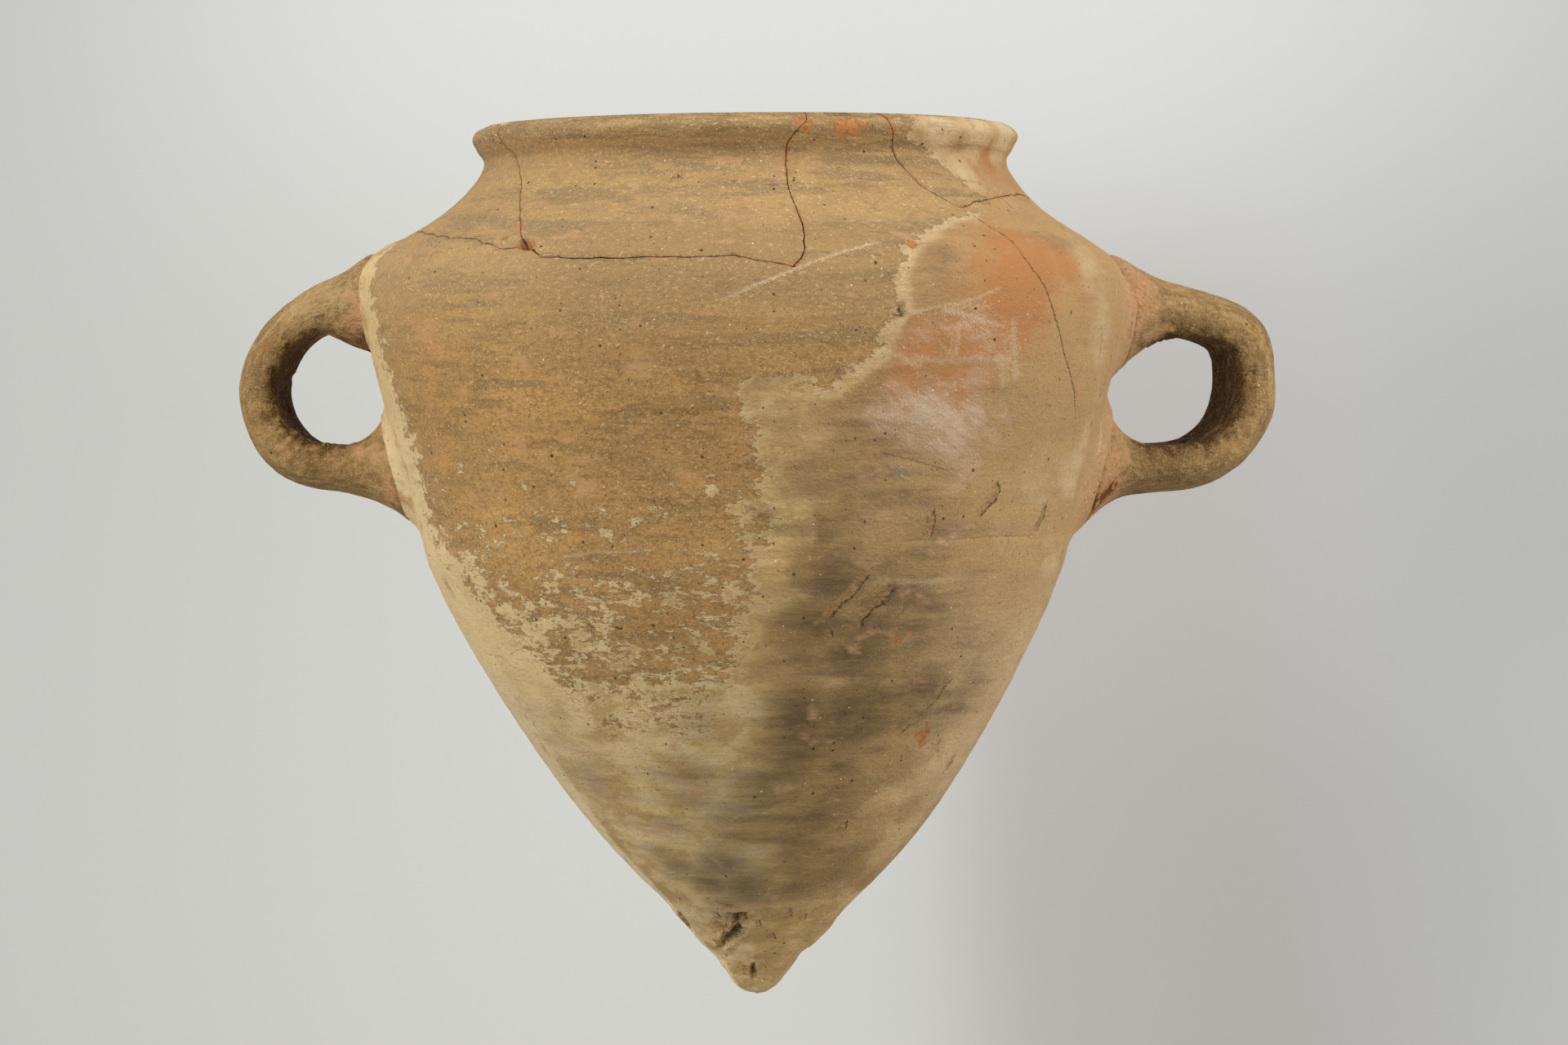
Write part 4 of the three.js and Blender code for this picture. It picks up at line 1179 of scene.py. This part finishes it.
def linear(code):
    """Linear colour from an sRGB hex code."""
    parts = [int(code[n:n + 2], 16) / 255 for n in (1, 3, 5)]
    return [p / 12.92 if p <= 0.04045 else ((p + 0.055) / 1.055) ** 2.4 for p in parts] + [1]


def add(nodes, kind, inputs, output=0, **settings):
    """Adds a shader node with its settings and links, and gives the output that others take."""
    new = nodes.new("ShaderNode" + kind)
    for name, value in settings.items():
        setattr(new, name, value)
    for name, value in inputs.items():
        if isinstance(value, bpy.types.NodeSocket):
            nodes.id_data.links.new(value, new.inputs[name])
        else:
            new.inputs[name].default_value = value
    return new.outputs[output] if len(new.outputs) else new


def new_material(name):
    """An empty material, and its nodes."""
    material = bpy.data.materials.new(name)
    material.use_nodes = True
    material.node_tree.nodes.clear()
    return material, material.node_tree.nodes


def across_and_up(nodes):
    """The places from left to right and from below upwards, in metres, to paint by."""
    place = add(nodes, "TexCoord", {}, "Object")
    return {"across": add(nodes, "SeparateXYZ", {"Vector": place}, "X"),
            "up": add(nodes, "SeparateXYZ", {"Vector": place}, "Z")}


def looks(nodes, patterns, marks, at=None):
    """What a finish is painted by. Each pattern is fractal noise of a size in mm round the vessel
    and up it, with a number of finer layers, their strength and a tilt in degrees. It lies about
    0.5, most of it within 0.06. The marks are the numbers kept on the mesh."""
    at = at or add(nodes, "TexCoord", {}, "Object")
    found = {name: add(nodes, "Attribute", {}, "Fac", attribute_name=name) for name in marks}
    for name, (across, up, layers, strength, tilt) in patterns.items():
        place = add(nodes, "Mapping", {
            "Vector": at, "Rotation": (0, math.radians(tilt), 0),
            "Scale": (across * MM, across * MM, up * MM)}, vector_type="TEXTURE")
        found[name] = add(nodes, "TexNoise", {"Vector": place, "Scale": 1.0, "Detail": layers,
                                              "Roughness": strength}, "Fac")
    return found


def specks(nodes, spacing, radius, kept):
    """Small dots, one in each cell of a spacing in mm, of any size up to a radius, in the share
    of the cells that is kept."""
    place = add(nodes, "TexCoord", {}, "Object")
    cells = {"Vector": place, "Scale": 1 / (spacing * MM)}
    distance = add(nodes, "TexVoronoi", cells, "Distance")
    tags = add(nodes, "SeparateColor", {"Color": add(nodes, "TexVoronoi", cells, "Color")}, "Red")
    largest = add(nodes, "MapRange", {"Value": tags, "From Min": kept, "From Max": 0.0,
                                      "To Max": radius / spacing})
    return add(nodes, "Math", {0: distance, 1: largest}, operation="LESS_THAN")


def roughened(nodes, found, edges):
    """Tears the edges of marks: a pattern is added to each mark, times how far it reaches."""
    for name, pattern, reach in edges:
        found[name] = add(nodes, "Math", {0: found[pattern], 1: reach, 2: found[name]},
                          operation="MULTIPLY_ADD")


def laid(nodes, found, strength, where):
    """How much of something lies at each point: its strength times each pattern or mark, which
    rises smoothly from 0 to 1 between two of its values."""
    for name, low, high in where:
        rise = add(nodes, "MapRange", {"Value": found[name], "From Min": low, "From Max": high},
                   interpolation_type="SMOOTHSTEP")
        strength = add(nodes, "Math", {0: strength, 1: rise}, operation="MULTIPLY")
    return strength


# Sockets of a colour Mix node, by number because its names repeat
FACTOR, UNDER, OVER, MIXED = 0, 6, 7, 2


def coated(nodes, found, colour, coats):
    """Coats of colour laid one over another: each has its colour, its strength and where it
    lies."""
    for over, strength, *where in coats:
        over = linear(over) if isinstance(over, str) else over
        colour = add(nodes, "Mix", {FACTOR: laid(nodes, found, strength, where), UNDER: colour,
                                    OVER: over}, MIXED, data_type="RGBA")
    return colour


SPREAD = 0.35, 0.65          # nearly all of a pattern's values lie between these


def fired_clay(nodes, found, colour, roughness, layers, gloss=0.25):
    """Matt fired clay: the shader itself. Its relief adds up layers of a height in mm and where
    each lies."""
    relief = 0.0
    for height, *where in layers:
        relief = add(nodes, "Math", {0: relief, 1: laid(nodes, found, height, where)})
    bump = add(nodes, "Bump", {"Height": relief, "Distance": MM})
    surface = add(nodes, "BsdfPrincipled", {"Base Color": colour, "Roughness": roughness,
                                            "Specular IOR Level": gloss, "Normal": bump})
    add(nodes, "OutputMaterial", {"Surface": surface})


# Clay smeared round a handle's root, the same on the wall and on the strap
ROOT_COATS = [
    ("#b38c62", 0.97, ("root", 1.7, 2.3)), ("#b37f50", 0.5, ("root", 1.9, 2.5), ("patch", 0.5, 0.57)),
    ("#c4a67c", 0.4, ("root", 1.9, 2.5), ("sand", 0.46, 0.38)),
    ("#7d5f3b", 0.5, ("root", 1.9, 2.5), ("sand", 0.54, 0.62)),
]


def bare_clay(nodes, found):
    """Colour of the clay where the slip has gone: sandy ochre, with level streaks, and painted shade
    on the shoulder and on the lip's bead.
    """
    return coated(nodes, found, linear("#a07a48"), [
        ("#b1874e", 0.8, ("broad", 0.46, 0.6)), ("#83673e", 0.7, ("streak", 0.5, 0.6)),
        ("#b68b4f", 0.5, ("patch", 0.54, 0.63)), ("#6f5330", 0.48, ("sand", 0.52, 0.59)),
        ("#a2865c", 0.6, ("up", 0.15, 0.18)),
        ("#7c6547", 0.5, ("streak", 0.5, 0.6), ("up", 0.15, 0.2)),
        ("#80694a", 0.4, ("patch", 0.5, 0.6), ("up", 0.15, 0.18)),
        # Painted shade on the lip's bead above its crease, against the light it gets from above
        ("#7d643f", 0.6, ("up", 0.206, 0.2095), ("stroke", 0.42, 0.54)),
        ("#c4a26b", 0.42, ("grain", 0.54, 0.63)), ("#b6844a", 0.7, ("orange", 0.75, 1.3)),
        # Painted shade on the shoulder below the neck, where the wall faces upwards and gets less
        # light
        ("#755c38", 0.3, ("up", 0.166, 0.176), ("up", 0.19, 0.185), ("across", -0.06, -0.03)),
        ("#d2ba8c", 0.5, ("speckle", 0.59, 0.61)),
    ])


def slip_coat(nodes, found):
    """Colour of the slip: tan where it is thin, orange in patches, pink with a whitish painted sheen
    in patches, and yellow-buff where it lies thick."""
    thick = coated(nodes, found, linear("#b89a66"), [
        ("#a28454", 0.5, ("streak", 0.47, 0.6)), ("#9a7e50", 0.5, ("patch", 0.49, 0.42)),
        ("#c8ab78", 0.5, ("patch", 0.52, 0.62)), ("#8f7145", 0.35, ("sand", 0.54, 0.62)),
        ("#dbc59b", 0.85, ("yellow", 1.6, 2.2)), ("#bda078", 0.7, ("across", 0.015, 0.045)),
        ("#bda67e", 0.5, ("across", -0.03, -0.055)),
        ("#d9bb83", 0.5, ("across", -0.036, -0.05), ("up", 0.072, 0.085)),
    ])
    return coated(nodes, found, linear("#94774b"), [
        ("#a38356", 0.7, ("broad", 0.44, 0.58)), ("#80664a", 0.45, ("streak", 0.5, 0.64)),
        ("#a2794b", 0.5, ("up", 0.14, 0.17)), ("#b8925f", 0.5, ("across", 0.035, 0.07)),
        ("#bda47c", 0.55, ("across", 0.03, 0.055), ("up", 0.12, 0.08)),
        ("#ac8d65", 0.4, ("patch", 0.52, 0.64)), ("#b19066", 0.18, ("stroke", 0.52, 0.62)),
        ("#7a5e3b", 0.3, ("sand", 0.54, 0.62)), ("#bd9f72", 0.3, ("grain", 0.54, 0.64)),
        # The rubbed slip's pink, whitened by a painted sheen, and a whitish veil of painted sheen
        # over it
        ("#a97242", 0.9, ("orange", 0.8, 1.5)), ("#b9997a", 0.6, ("pink_sheen", 0.85, 1.6)),
        ("#cdb7a2", 0.3, ("pink_sheen", 0.9, 1.6), ("scribble", 0.47, 0.55)),
        (thick, 1.0, ("yellow", 0.85, 1.5)),
    ])


def slipped_earthenware():
    """Earthenware: wheel-thrown, coated with a thin slip and fired in smoke. The slip is smooth,
    yellow-buff where it lies thick and tan where it is thin, and polished pink where it was rubbed,
    with a whitish painted sheen there. Where it has flaked off, the eye sees sandy ochre clay with
    white grit and pits, with painted shade on the shoulder and the lip's bead. Tears and gouges carry
    painted shade in their hollows. All of it carries level wiping streaks and grey smoke clouds."""
    material, nodes = new_material("slipped_earthenware")
    found = looks(nodes, {
        "broad": (34, 20, 3, 0.5, 0), "patch": (10, 6, 5, 0.6, 0), "streak": (26, 3.4, 6, 0.62, 0),
        "stroke": (11, 0.8, 4, 0.6, 3), "flake": (6.0, 2.6, 10, 0.78, 0),
        "sand": (1.3, 1.0, 3, 0.7, 0), "speckle": (1.2, 0.8, 5, 0.78, 0),
        "grain": (0.6, 0.5, 2, 0.7, 0), "scribble": (14, 2.2, 3, 0.6, 38),
    }, MARK_NAMES)
    found["grit"] = specks(nodes, 1.7, 0.24, 0.2)
    found["pits"] = specks(nodes, 2.3, 0.44, 0.22)
    found["pores"] = specks(nodes, 1.4, 0.24, 0.38)
    found.update(across_and_up(nodes))
    roughened(nodes, found, [
        ("wear", "flake", 20), ("crack", "sand", 5), ("tear", "sand", 7), ("scratch", "grain", 8),
        ("chip", "sand", 1.6), ("broken", "sand", 5), ("root", "patch", 3), ("cloud", "patch", 1.3),
        ("cloud", "streak", 1.0), ("yellow", "patch", 1.6), ("orange", "patch", 1.4),
        ("pink_sheen", "patch", 1.4),
    ])
    # The hollow line of a tear, painted dark as shade and cut into the relief
    tear_line = ("tear", 2.5, 3.1), ("tear", 4.4, 3.9)
    torn = ("tear", -5.5, -3.0), ("tear", 3.4, 2.4), ("tear_on", 0, 1)
    bare = bare_clay(nodes, found)
    slip = slip_coat(nodes, found)
    colour = coated(nodes, found, slip, [
        ("#d2b98a", 0.6, ("wear", 8.2, 9.8), ("yellow", 0.9, 1.3)),
        (bare, 1.0, ("wear", 9.9, 10.08)),
        (bare, 0.85, ("wear", 7.2, 8.6), ("speckle", 0.545, 0.56)),
        ("#76603f", 0.7, ("grey", 0.1, 0.9), ("stroke", 0.4, 0.52)),
        ("#4d3c25", 0.88, ("cloud", 1.15, 2.25), ("wear", 13, 8)),
    ] + ROOT_COATS + [
        # Whitish painted sheen on the polished pink, broken by scratches
        ("#d8c6ad", 0.35, ("pink_sheen", 0.85, 1.2), ("scribble", 0.488, 0.496), ("scribble", 0.508, 0.5)),
        ("#e0d2b4", 0.8, ("grit", 0, 1)),
        ("#35261a", 0.85, ("pits", 0, 1)),
        ("#4a3520", 0.75, ("pores", 0, 1)),
        ("#d2bba0", 0.65, ("scratch", 2.2, 3.8), ("scratch", 5.8, 4.2), ("scratch_on", 0, 1)),
        ("#a48052", 0.6, *torn), ("#6f5435", 0.6, *torn, ("sand", 0.5, 0.56)),
        # Painted shade in the hollow of each tear and gouge
        ("#36271a", 0.9, *tear_line, ("tear_on", 0.1, 1), ("speckle", 0.42, 0.49)),
        ("#3f2c1a", 0.85, ("crack", 1.5, 2.1), ("crack", 3.5, 2.9), ("crack_on", 0, 1)),
        ("#ac7341", 0.95, ("chip", 1.28, 1.32)),
        ("#8a5a30", 0.7, ("chip", 1.3, 1.5), ("sand", 0.5, 0.58)),
        ("#a56f40", 0.6, ("broken", 3.4, 2.8), ("patch", 0.52, 0.57)),
        ("#45301c", 0.5, ("broken", 2.6, 2.35)),
    ])
    roughness = add(nodes, "MapRange", {"Value": found["pink_sheen"], "From Min": 0.7, "From Max": 1.7,
                                        "To Min": 0.78, "To Max": 0.48})
    fired_clay(nodes, found, colour, roughness, [
        (0.09, ("sand", *SPREAD)), (0.05, ("grain", *SPREAD)), (0.03, ("stroke", *SPREAD)),
        (-0.09, ("wear", 9.8, 10.2)), (-0.3, ("pits", 0, 1)), (0.08, ("patch", *SPREAD)),
        (-0.4, *tear_line, ("tear_on", 0, 1)),
        (0.14, *torn, ("sand", 0.4, 0.6)),
        (-0.12, ("chip", 1.24, 1.36)), (-0.1, ("pores", 0, 1)),
    ])
    return material


def thrown_earthenware():
    """Earthenware left bare inside: greyish buff, with level throwing rings and a dusty look."""
    material, nodes = new_material("thrown_earthenware")
    found = looks(nodes, {"rings": (60, 5, 4, 0.6, 0), "stains": (22, 18, 5, 0.6, 0),
                          "grain": (0.7, 0.6, 3, 0.7, 0)}, [])
    colour = coated(nodes, found, linear("#a58a5e"), [
        ("#8f744c", 0.9, ("rings", 0.44, 0.56)), ("#b58a5a", 0.6, ("stains", 0.5, 0.62)),
        ("#c4a678", 0.45, ("grain", 0.52, 0.62)),
    ])
    fired_clay(nodes, found, colour, 0.9,
               [(0.3, ("rings", *SPREAD)), (0.15, ("grain", *SPREAD))])
    return material


def broken_earthenware():
    """The clay's raw core on a break: rough orange-brown with white grit."""
    material, nodes = new_material("broken_earthenware")
    found = looks(nodes, {"lumps": (2.4, 2.4, 5, 0.7, 0)}, [])
    found["grit"] = specks(nodes, 2.2, 0.4, 0.4)
    colour = coated(nodes, found, linear("#7c4f2c"), [
        ("#a8693a", 0.9, ("lumps", 0.45, 0.56)), ("#dccaa5", 0.8, ("grit", 0, 1)),
    ])
    fired_clay(nodes, found, colour, 0.92, [(0.5, ("lumps", *SPREAD))])
    return material


def pulled_earthenware(seed):
    """Earthenware pulled by hand into a strap: brown-buff clay with fine lengthwise strokes of wet
    fingers, paler on its worn back, dark with painted shade on its inner face, and orange where its
    roots were smeared on to the wall."""
    material, nodes = new_material("pulled_earthenware_%d" % seed)
    strap_marks = ["along", "across", "inner", "root", "pale", "chip"]
    found = looks(nodes, {
        "broad": (34, 20, 3, 0.5, 0), "patch": (10, 6, 5, 0.6, 0), "mottle": (3.0, 3.0, 5, 0.66, 0),
        "sand": (1.3, 1.0, 3, 0.7, 0), "grain": (0.6, 0.5, 2, 0.7, 0),
    }, strap_marks)
    strip = [add(nodes, "Math", {0: found[name], 1: MM}, operation="MULTIPLY")
             for name in strap_marks[:2]]
    strip = add(nodes, "CombineXYZ", {"X": strip[1], "Y": 0.01 * seed, "Z": strip[0]})
    found.update(looks(nodes, {"stroke": (1.1, 12, 4, 0.62, 0)}, [], strip))
    found["grit"] = specks(nodes, 2.2, 0.28, 0.16)
    found["pits"] = specks(nodes, 2.6, 0.4, 0.22)
    roughened(nodes, found, [("chip", "sand", 2.4), ("inner", "mottle", 3), ("pale", "mottle", 5),
                             ("root", "patch", 3)])
    colour = coated(nodes, found, linear("#8b6c44"), [
        ("#a5824f", 0.7, ("patch", 0.44, 0.58)), ("#70552f", 0.5, ("mottle", 0.52, 0.62)),
        ("#ae8d5c", 0.45, ("stroke", 0.5, 0.6)), ("#694f2f", 0.4, ("stroke", 0.48, 0.4)),
        ("#b59b6c", 0.66, ("pale", 2.35, 3.5)), ("#6d5230", 0.4, ("sand", 0.54, 0.62)),
        # Painted shade: dark brown on the strap's inner face
        ("#4a2e0a", 0.92, ("inner", 1.75, 2.6)), ("#cdb483", 0.35, ("grain", 0.56, 0.66)),
    ] + ROOT_COATS + [
        ("#a96c3b", 0.95, ("chip", 1.62, 1.7)), ("#523a20", 0.85, ("chip", 2.05, 2.25)),
        ("#c4a574", 0.6, ("chip", 2.1, 2.3), ("mottle", 0.53, 0.57)),
        ("#e0d2b4", 0.8, ("grit", 0, 1)), ("#35261a", 0.85, ("pits", 0, 1)),
    ])
    fired_clay(nodes, found, colour, 0.8, [
        (0.2, ("stroke", *SPREAD)), (0.12, ("sand", *SPREAD)), (0.3, ("mottle", *SPREAD)),
        (0.06, ("grain", *SPREAD)), (-0.35, ("pits", 0, 1)), (-0.15, ("chip", 1.6, 1.8)),
    ], gloss=0.1)
    return material


# Stage, light and camera

TARGET = np.array([7.03, 0, 116.6]) * MM
CAMERA_DISTANCE = 1.08
CAMERA_RISE = 2.3            # degrees above level
SENSOR_WIDTH = 36            # mm
FOCAL_LENGTH = 101.25        # mm

# The paper, in metres
PAPER_FLOOR = -0.10
PAPER_FRONT = -4.0
PAPER_BACK = 0.62            # how far behind the vessel it stands upright
PAPER_TOP = 3.0
PAPER_HALF = 3.0             # half its width
PAPER_BEND = 0.45            # radius of the curve between floor and back
PAPER_STEPS = 24             # steps of that curve

LIT_PLACE = (0, 0, 0.12)     # where the lights point, in metres
# Soft boxes: name, place and size in metres, and watts
SOFT_BOXES = [
    ("key_light", (-0.9, -1.7, 0.8), (0.6, 0.6), 15),
    ("left_light", (-1.35, -0.55, 0.9), (0.9, 0.9), 15),
    ("right_light", (1.4, -0.5, 0.75), (0.9, 0.9), 22),
    ("top_light", (-0.1, -0.45, 1.6), (1.2, 0.8), 10),
]
SURROUND, SURROUND_STRENGTH = "#f4f2ee", 0.2


def sweep():
    """A seamless paper sweep: floor, a wide curve and an upright back, as one smooth sheet."""
    angle = np.linspace(0, np.pi / 2, PAPER_STEPS)
    curve = np.column_stack([PAPER_BACK - PAPER_BEND * (1 - np.sin(angle)),
                             PAPER_FLOOR + PAPER_BEND * (1 - np.cos(angle))])
    line = np.vstack([(PAPER_FRONT, PAPER_FLOOR), curve, (PAPER_BACK, PAPER_TOP)])
    points = np.array([(x, y, z) for y, z in line for x in (-PAPER_HALF, PAPER_HALF)])
    numbers = np.arange(len(points)).reshape(-1, 2)
    quads = np.stack([numbers[:-1, 0], numbers[:-1, 1], numbers[1:, 1], numbers[1:, 0]], axis=-1)
    mesh = bpy.data.meshes.new("paper_sweep")
    mesh.from_pydata(points, [], quads.tolist())
    mesh.polygons.foreach_set("use_smooth", np.ones(len(mesh.polygons), dtype=bool))
    mesh.materials.append(paper_with_painted_light())
    piece = bpy.data.objects.new("paper_sweep", mesh)
    bpy.context.scene.collection.objects.link(piece)
    piece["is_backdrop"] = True


def paper_with_painted_light():
    """Matt pale grey photographic paper with painted light on it: painted shade towards its sides and
    its right, a painted pool of light higher up in the middle, and a painted soft shadow of the
    vessel to its right. Its back is clear, so that the vessel can be looked at from behind."""
    material, nodes = new_material("paper_with_painted_light")
    # Painted light: shade towards the left and right edges, and a pool of light high in the middle
    colour = coated(nodes, across_and_up(nodes), linear("#abaca8"), [
        ("#b7b7b3", 1.0, ("across", -0.32, -0.05)), ("#a0a0a0", 1.0, ("across", -0.02, 0.3)),
        ("#aaaaa9", 1.0, ("across", 0.15, 0.3), ("up", 0.1, 0.0)),
        # Painted soft shadow of the vessel, on the paper to its right
        ("#a39f9b", 0.9, ("across", 0.04, 0.1), ("across", 0.24, 0.15), ("up", 0.25, 0.17)),
        ("#c9cac7", 0.9, ("up", 0.12, 0.32), ("across", -0.36, -0.08), ("across", 0.5, 0.1)),
    ])
    paper = add(nodes, "BsdfPrincipled", {"Base Color": colour, "Roughness": 0.95,
                                          "Specular IOR Level": 0.1})
    behind = add(nodes, "NewGeometry", {}, "Backfacing")
    clear = add(nodes, "BsdfTransparent", {})
    surface = add(nodes, "MixShader", {0: behind, 1: paper, 2: clear})
    add(nodes, "OutputMaterial", {"Surface": surface})
    return material


def aim(thing, place, target):
    """Stands a light or camera at a place, looking at a target with its top upwards."""
    thing.location = place
    thing.rotation_euler = (Vector(target) - Vector(place)).to_track_quat("-Z", "Y").to_euler()


def soft_box(name, place, size, watts):
    """A white area light that faces the vessel."""
    light = bpy.data.lights.new(name, "AREA")
    light.shape = "RECTANGLE"
    light.size, light.size_y = size
    light.energy = watts
    lamp = bpy.data.objects.new(name, light)
    bpy.context.scene.collection.objects.link(lamp)
    aim(lamp, place, LIT_PLACE)


def studio():
    """A soft key light at the front left, one at each side, one above and a pale surround."""
    for light in SOFT_BOXES:
        soft_box(*light)
    world = bpy.data.worlds.new("studio_surround")
    world.use_nodes = True
    background = world.node_tree.nodes["Background"]
    background.inputs["Color"].default_value = linear(SURROUND)
    background.inputs["Strength"].default_value = SURROUND_STRENGTH
    bpy.context.scene.world = world


def photo_camera():
    """The camera, as it stood for the photo."""
    lens = bpy.data.cameras.new("photo_camera")
    lens.sensor_fit = "HORIZONTAL"
    lens.sensor_width = SENSOR_WIDTH
    lens.lens = FOCAL_LENGTH
    camera = bpy.data.objects.new("photo_camera", lens)
    bpy.context.scene.collection.objects.link(camera)
    rise = math.radians(CAMERA_RISE)
    aim(camera, TARGET + CAMERA_DISTANCE * np.array([0, -math.cos(rise), math.sin(rise)]), TARGET)
    bpy.context.scene.camera = camera


BEAD_TURN, BEAD_HEIGHT = -29, 180.4     # where the bead stands
BEAD_HALF = (2.6, 0.6, 0.7)  # half its length, thickness and height, in mm
BEAD_SUNK = 0.25             # how deep its middle lies in the wall
BEAD_ROWS, BEAD_COLUMNS = 12, 24
BEAD_POLE = 0.02             # radians left open round each end, closed by a fan


def glue_bead(material):
    """A drop of clear glue squeezed out of the break: a flattened round bead."""
    clay = Clay()
    polar = np.linspace(BEAD_POLE, np.pi - BEAD_POLE, BEAD_ROWS)[:, None]
    angle = np.linspace(0, 2 * np.pi, BEAD_COLUMNS, endpoint=False)[None]
    ball = np.stack([np.sin(polar) * np.cos(angle), np.sin(polar) * np.sin(angle),
                     -np.cos(polar) + 0 * angle], axis=-1) * BEAD_HALF
    sunk = BEAD_SUNK * outward_at(BEAD_TURN, BEAD_HEIGHT, False)
    centre = mark(BEAD_TURN, BEAD_HEIGHT) - sunk
    grid = clay.lay(turned(ball, BEAD_TURN) + centre, {})
    clay.cover(closed(grid), OUTSIDE)
    clay.fan(grid[0, 0], grid[0, :0:-1], OUTSIDE)
    clay.fan(grid[-1, 0], grid[-1, 1:], OUTSIDE)
    return mesh_piece("glue_bead", clay, [material])


def mending_glue():
    """Old clear resin glue: yellowed and glossy."""
    material, nodes = new_material("mending_glue")
    surface = add(nodes, "BsdfPrincipled", {"Base Color": linear("#8d6b40"), "Roughness": 0.16,
                                            "IOR": 1.5})
    add(nodes, "OutputMaterial", {"Surface": surface})
    return material


# The pieces, each standing for its node

def stand_in(clay, node, materials):
    """Makes the piece that is seen in place of one of the vessel's parts."""
    piece = mesh_piece("clay_" + node, clay, materials)
    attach(piece, "root")
    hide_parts(node)


def dress():
    """Makes every piece of the vessel and its finishes."""
    wall = slipped_earthenware()
    inner = thrown_earthenware()
    core = broken_earthenware()
    finishes = [wall, inner, core]
    stand_in(body_wall(), "body_wall", finishes)
    stand_in(rim_sherd(0), "rim_sherd_left", finishes)
    stand_in(rim_sherd(1), "rim_sherd_front", finishes)
    stand_in(rim_sherd(3), "rim_sherd_right", finishes)
    stand_in(lower_cone(), "lower_cone", finishes)
    stand_in(toe_knob(), "toe_knob", finishes)
    for node, size, seed in (("handle_left", LEFT_HANDLE, 100),
                             ("handle_right", RIGHT_HANDLE, 200)):
        strap = pulled_earthenware(seed // 100)
        stand_in(strap_handle(size, seed), node, [strap, inner, core])
    bead = glue_bead(mending_glue())
    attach(bead, "root")


def keep_sizes():
    """Brings the view layer up to date."""
    bpy.context.view_layer.update()


bpy.context.scene.view_settings.view_transform = "Standard"
photo_camera()
sweep()
studio()
dress()
keep_sizes()
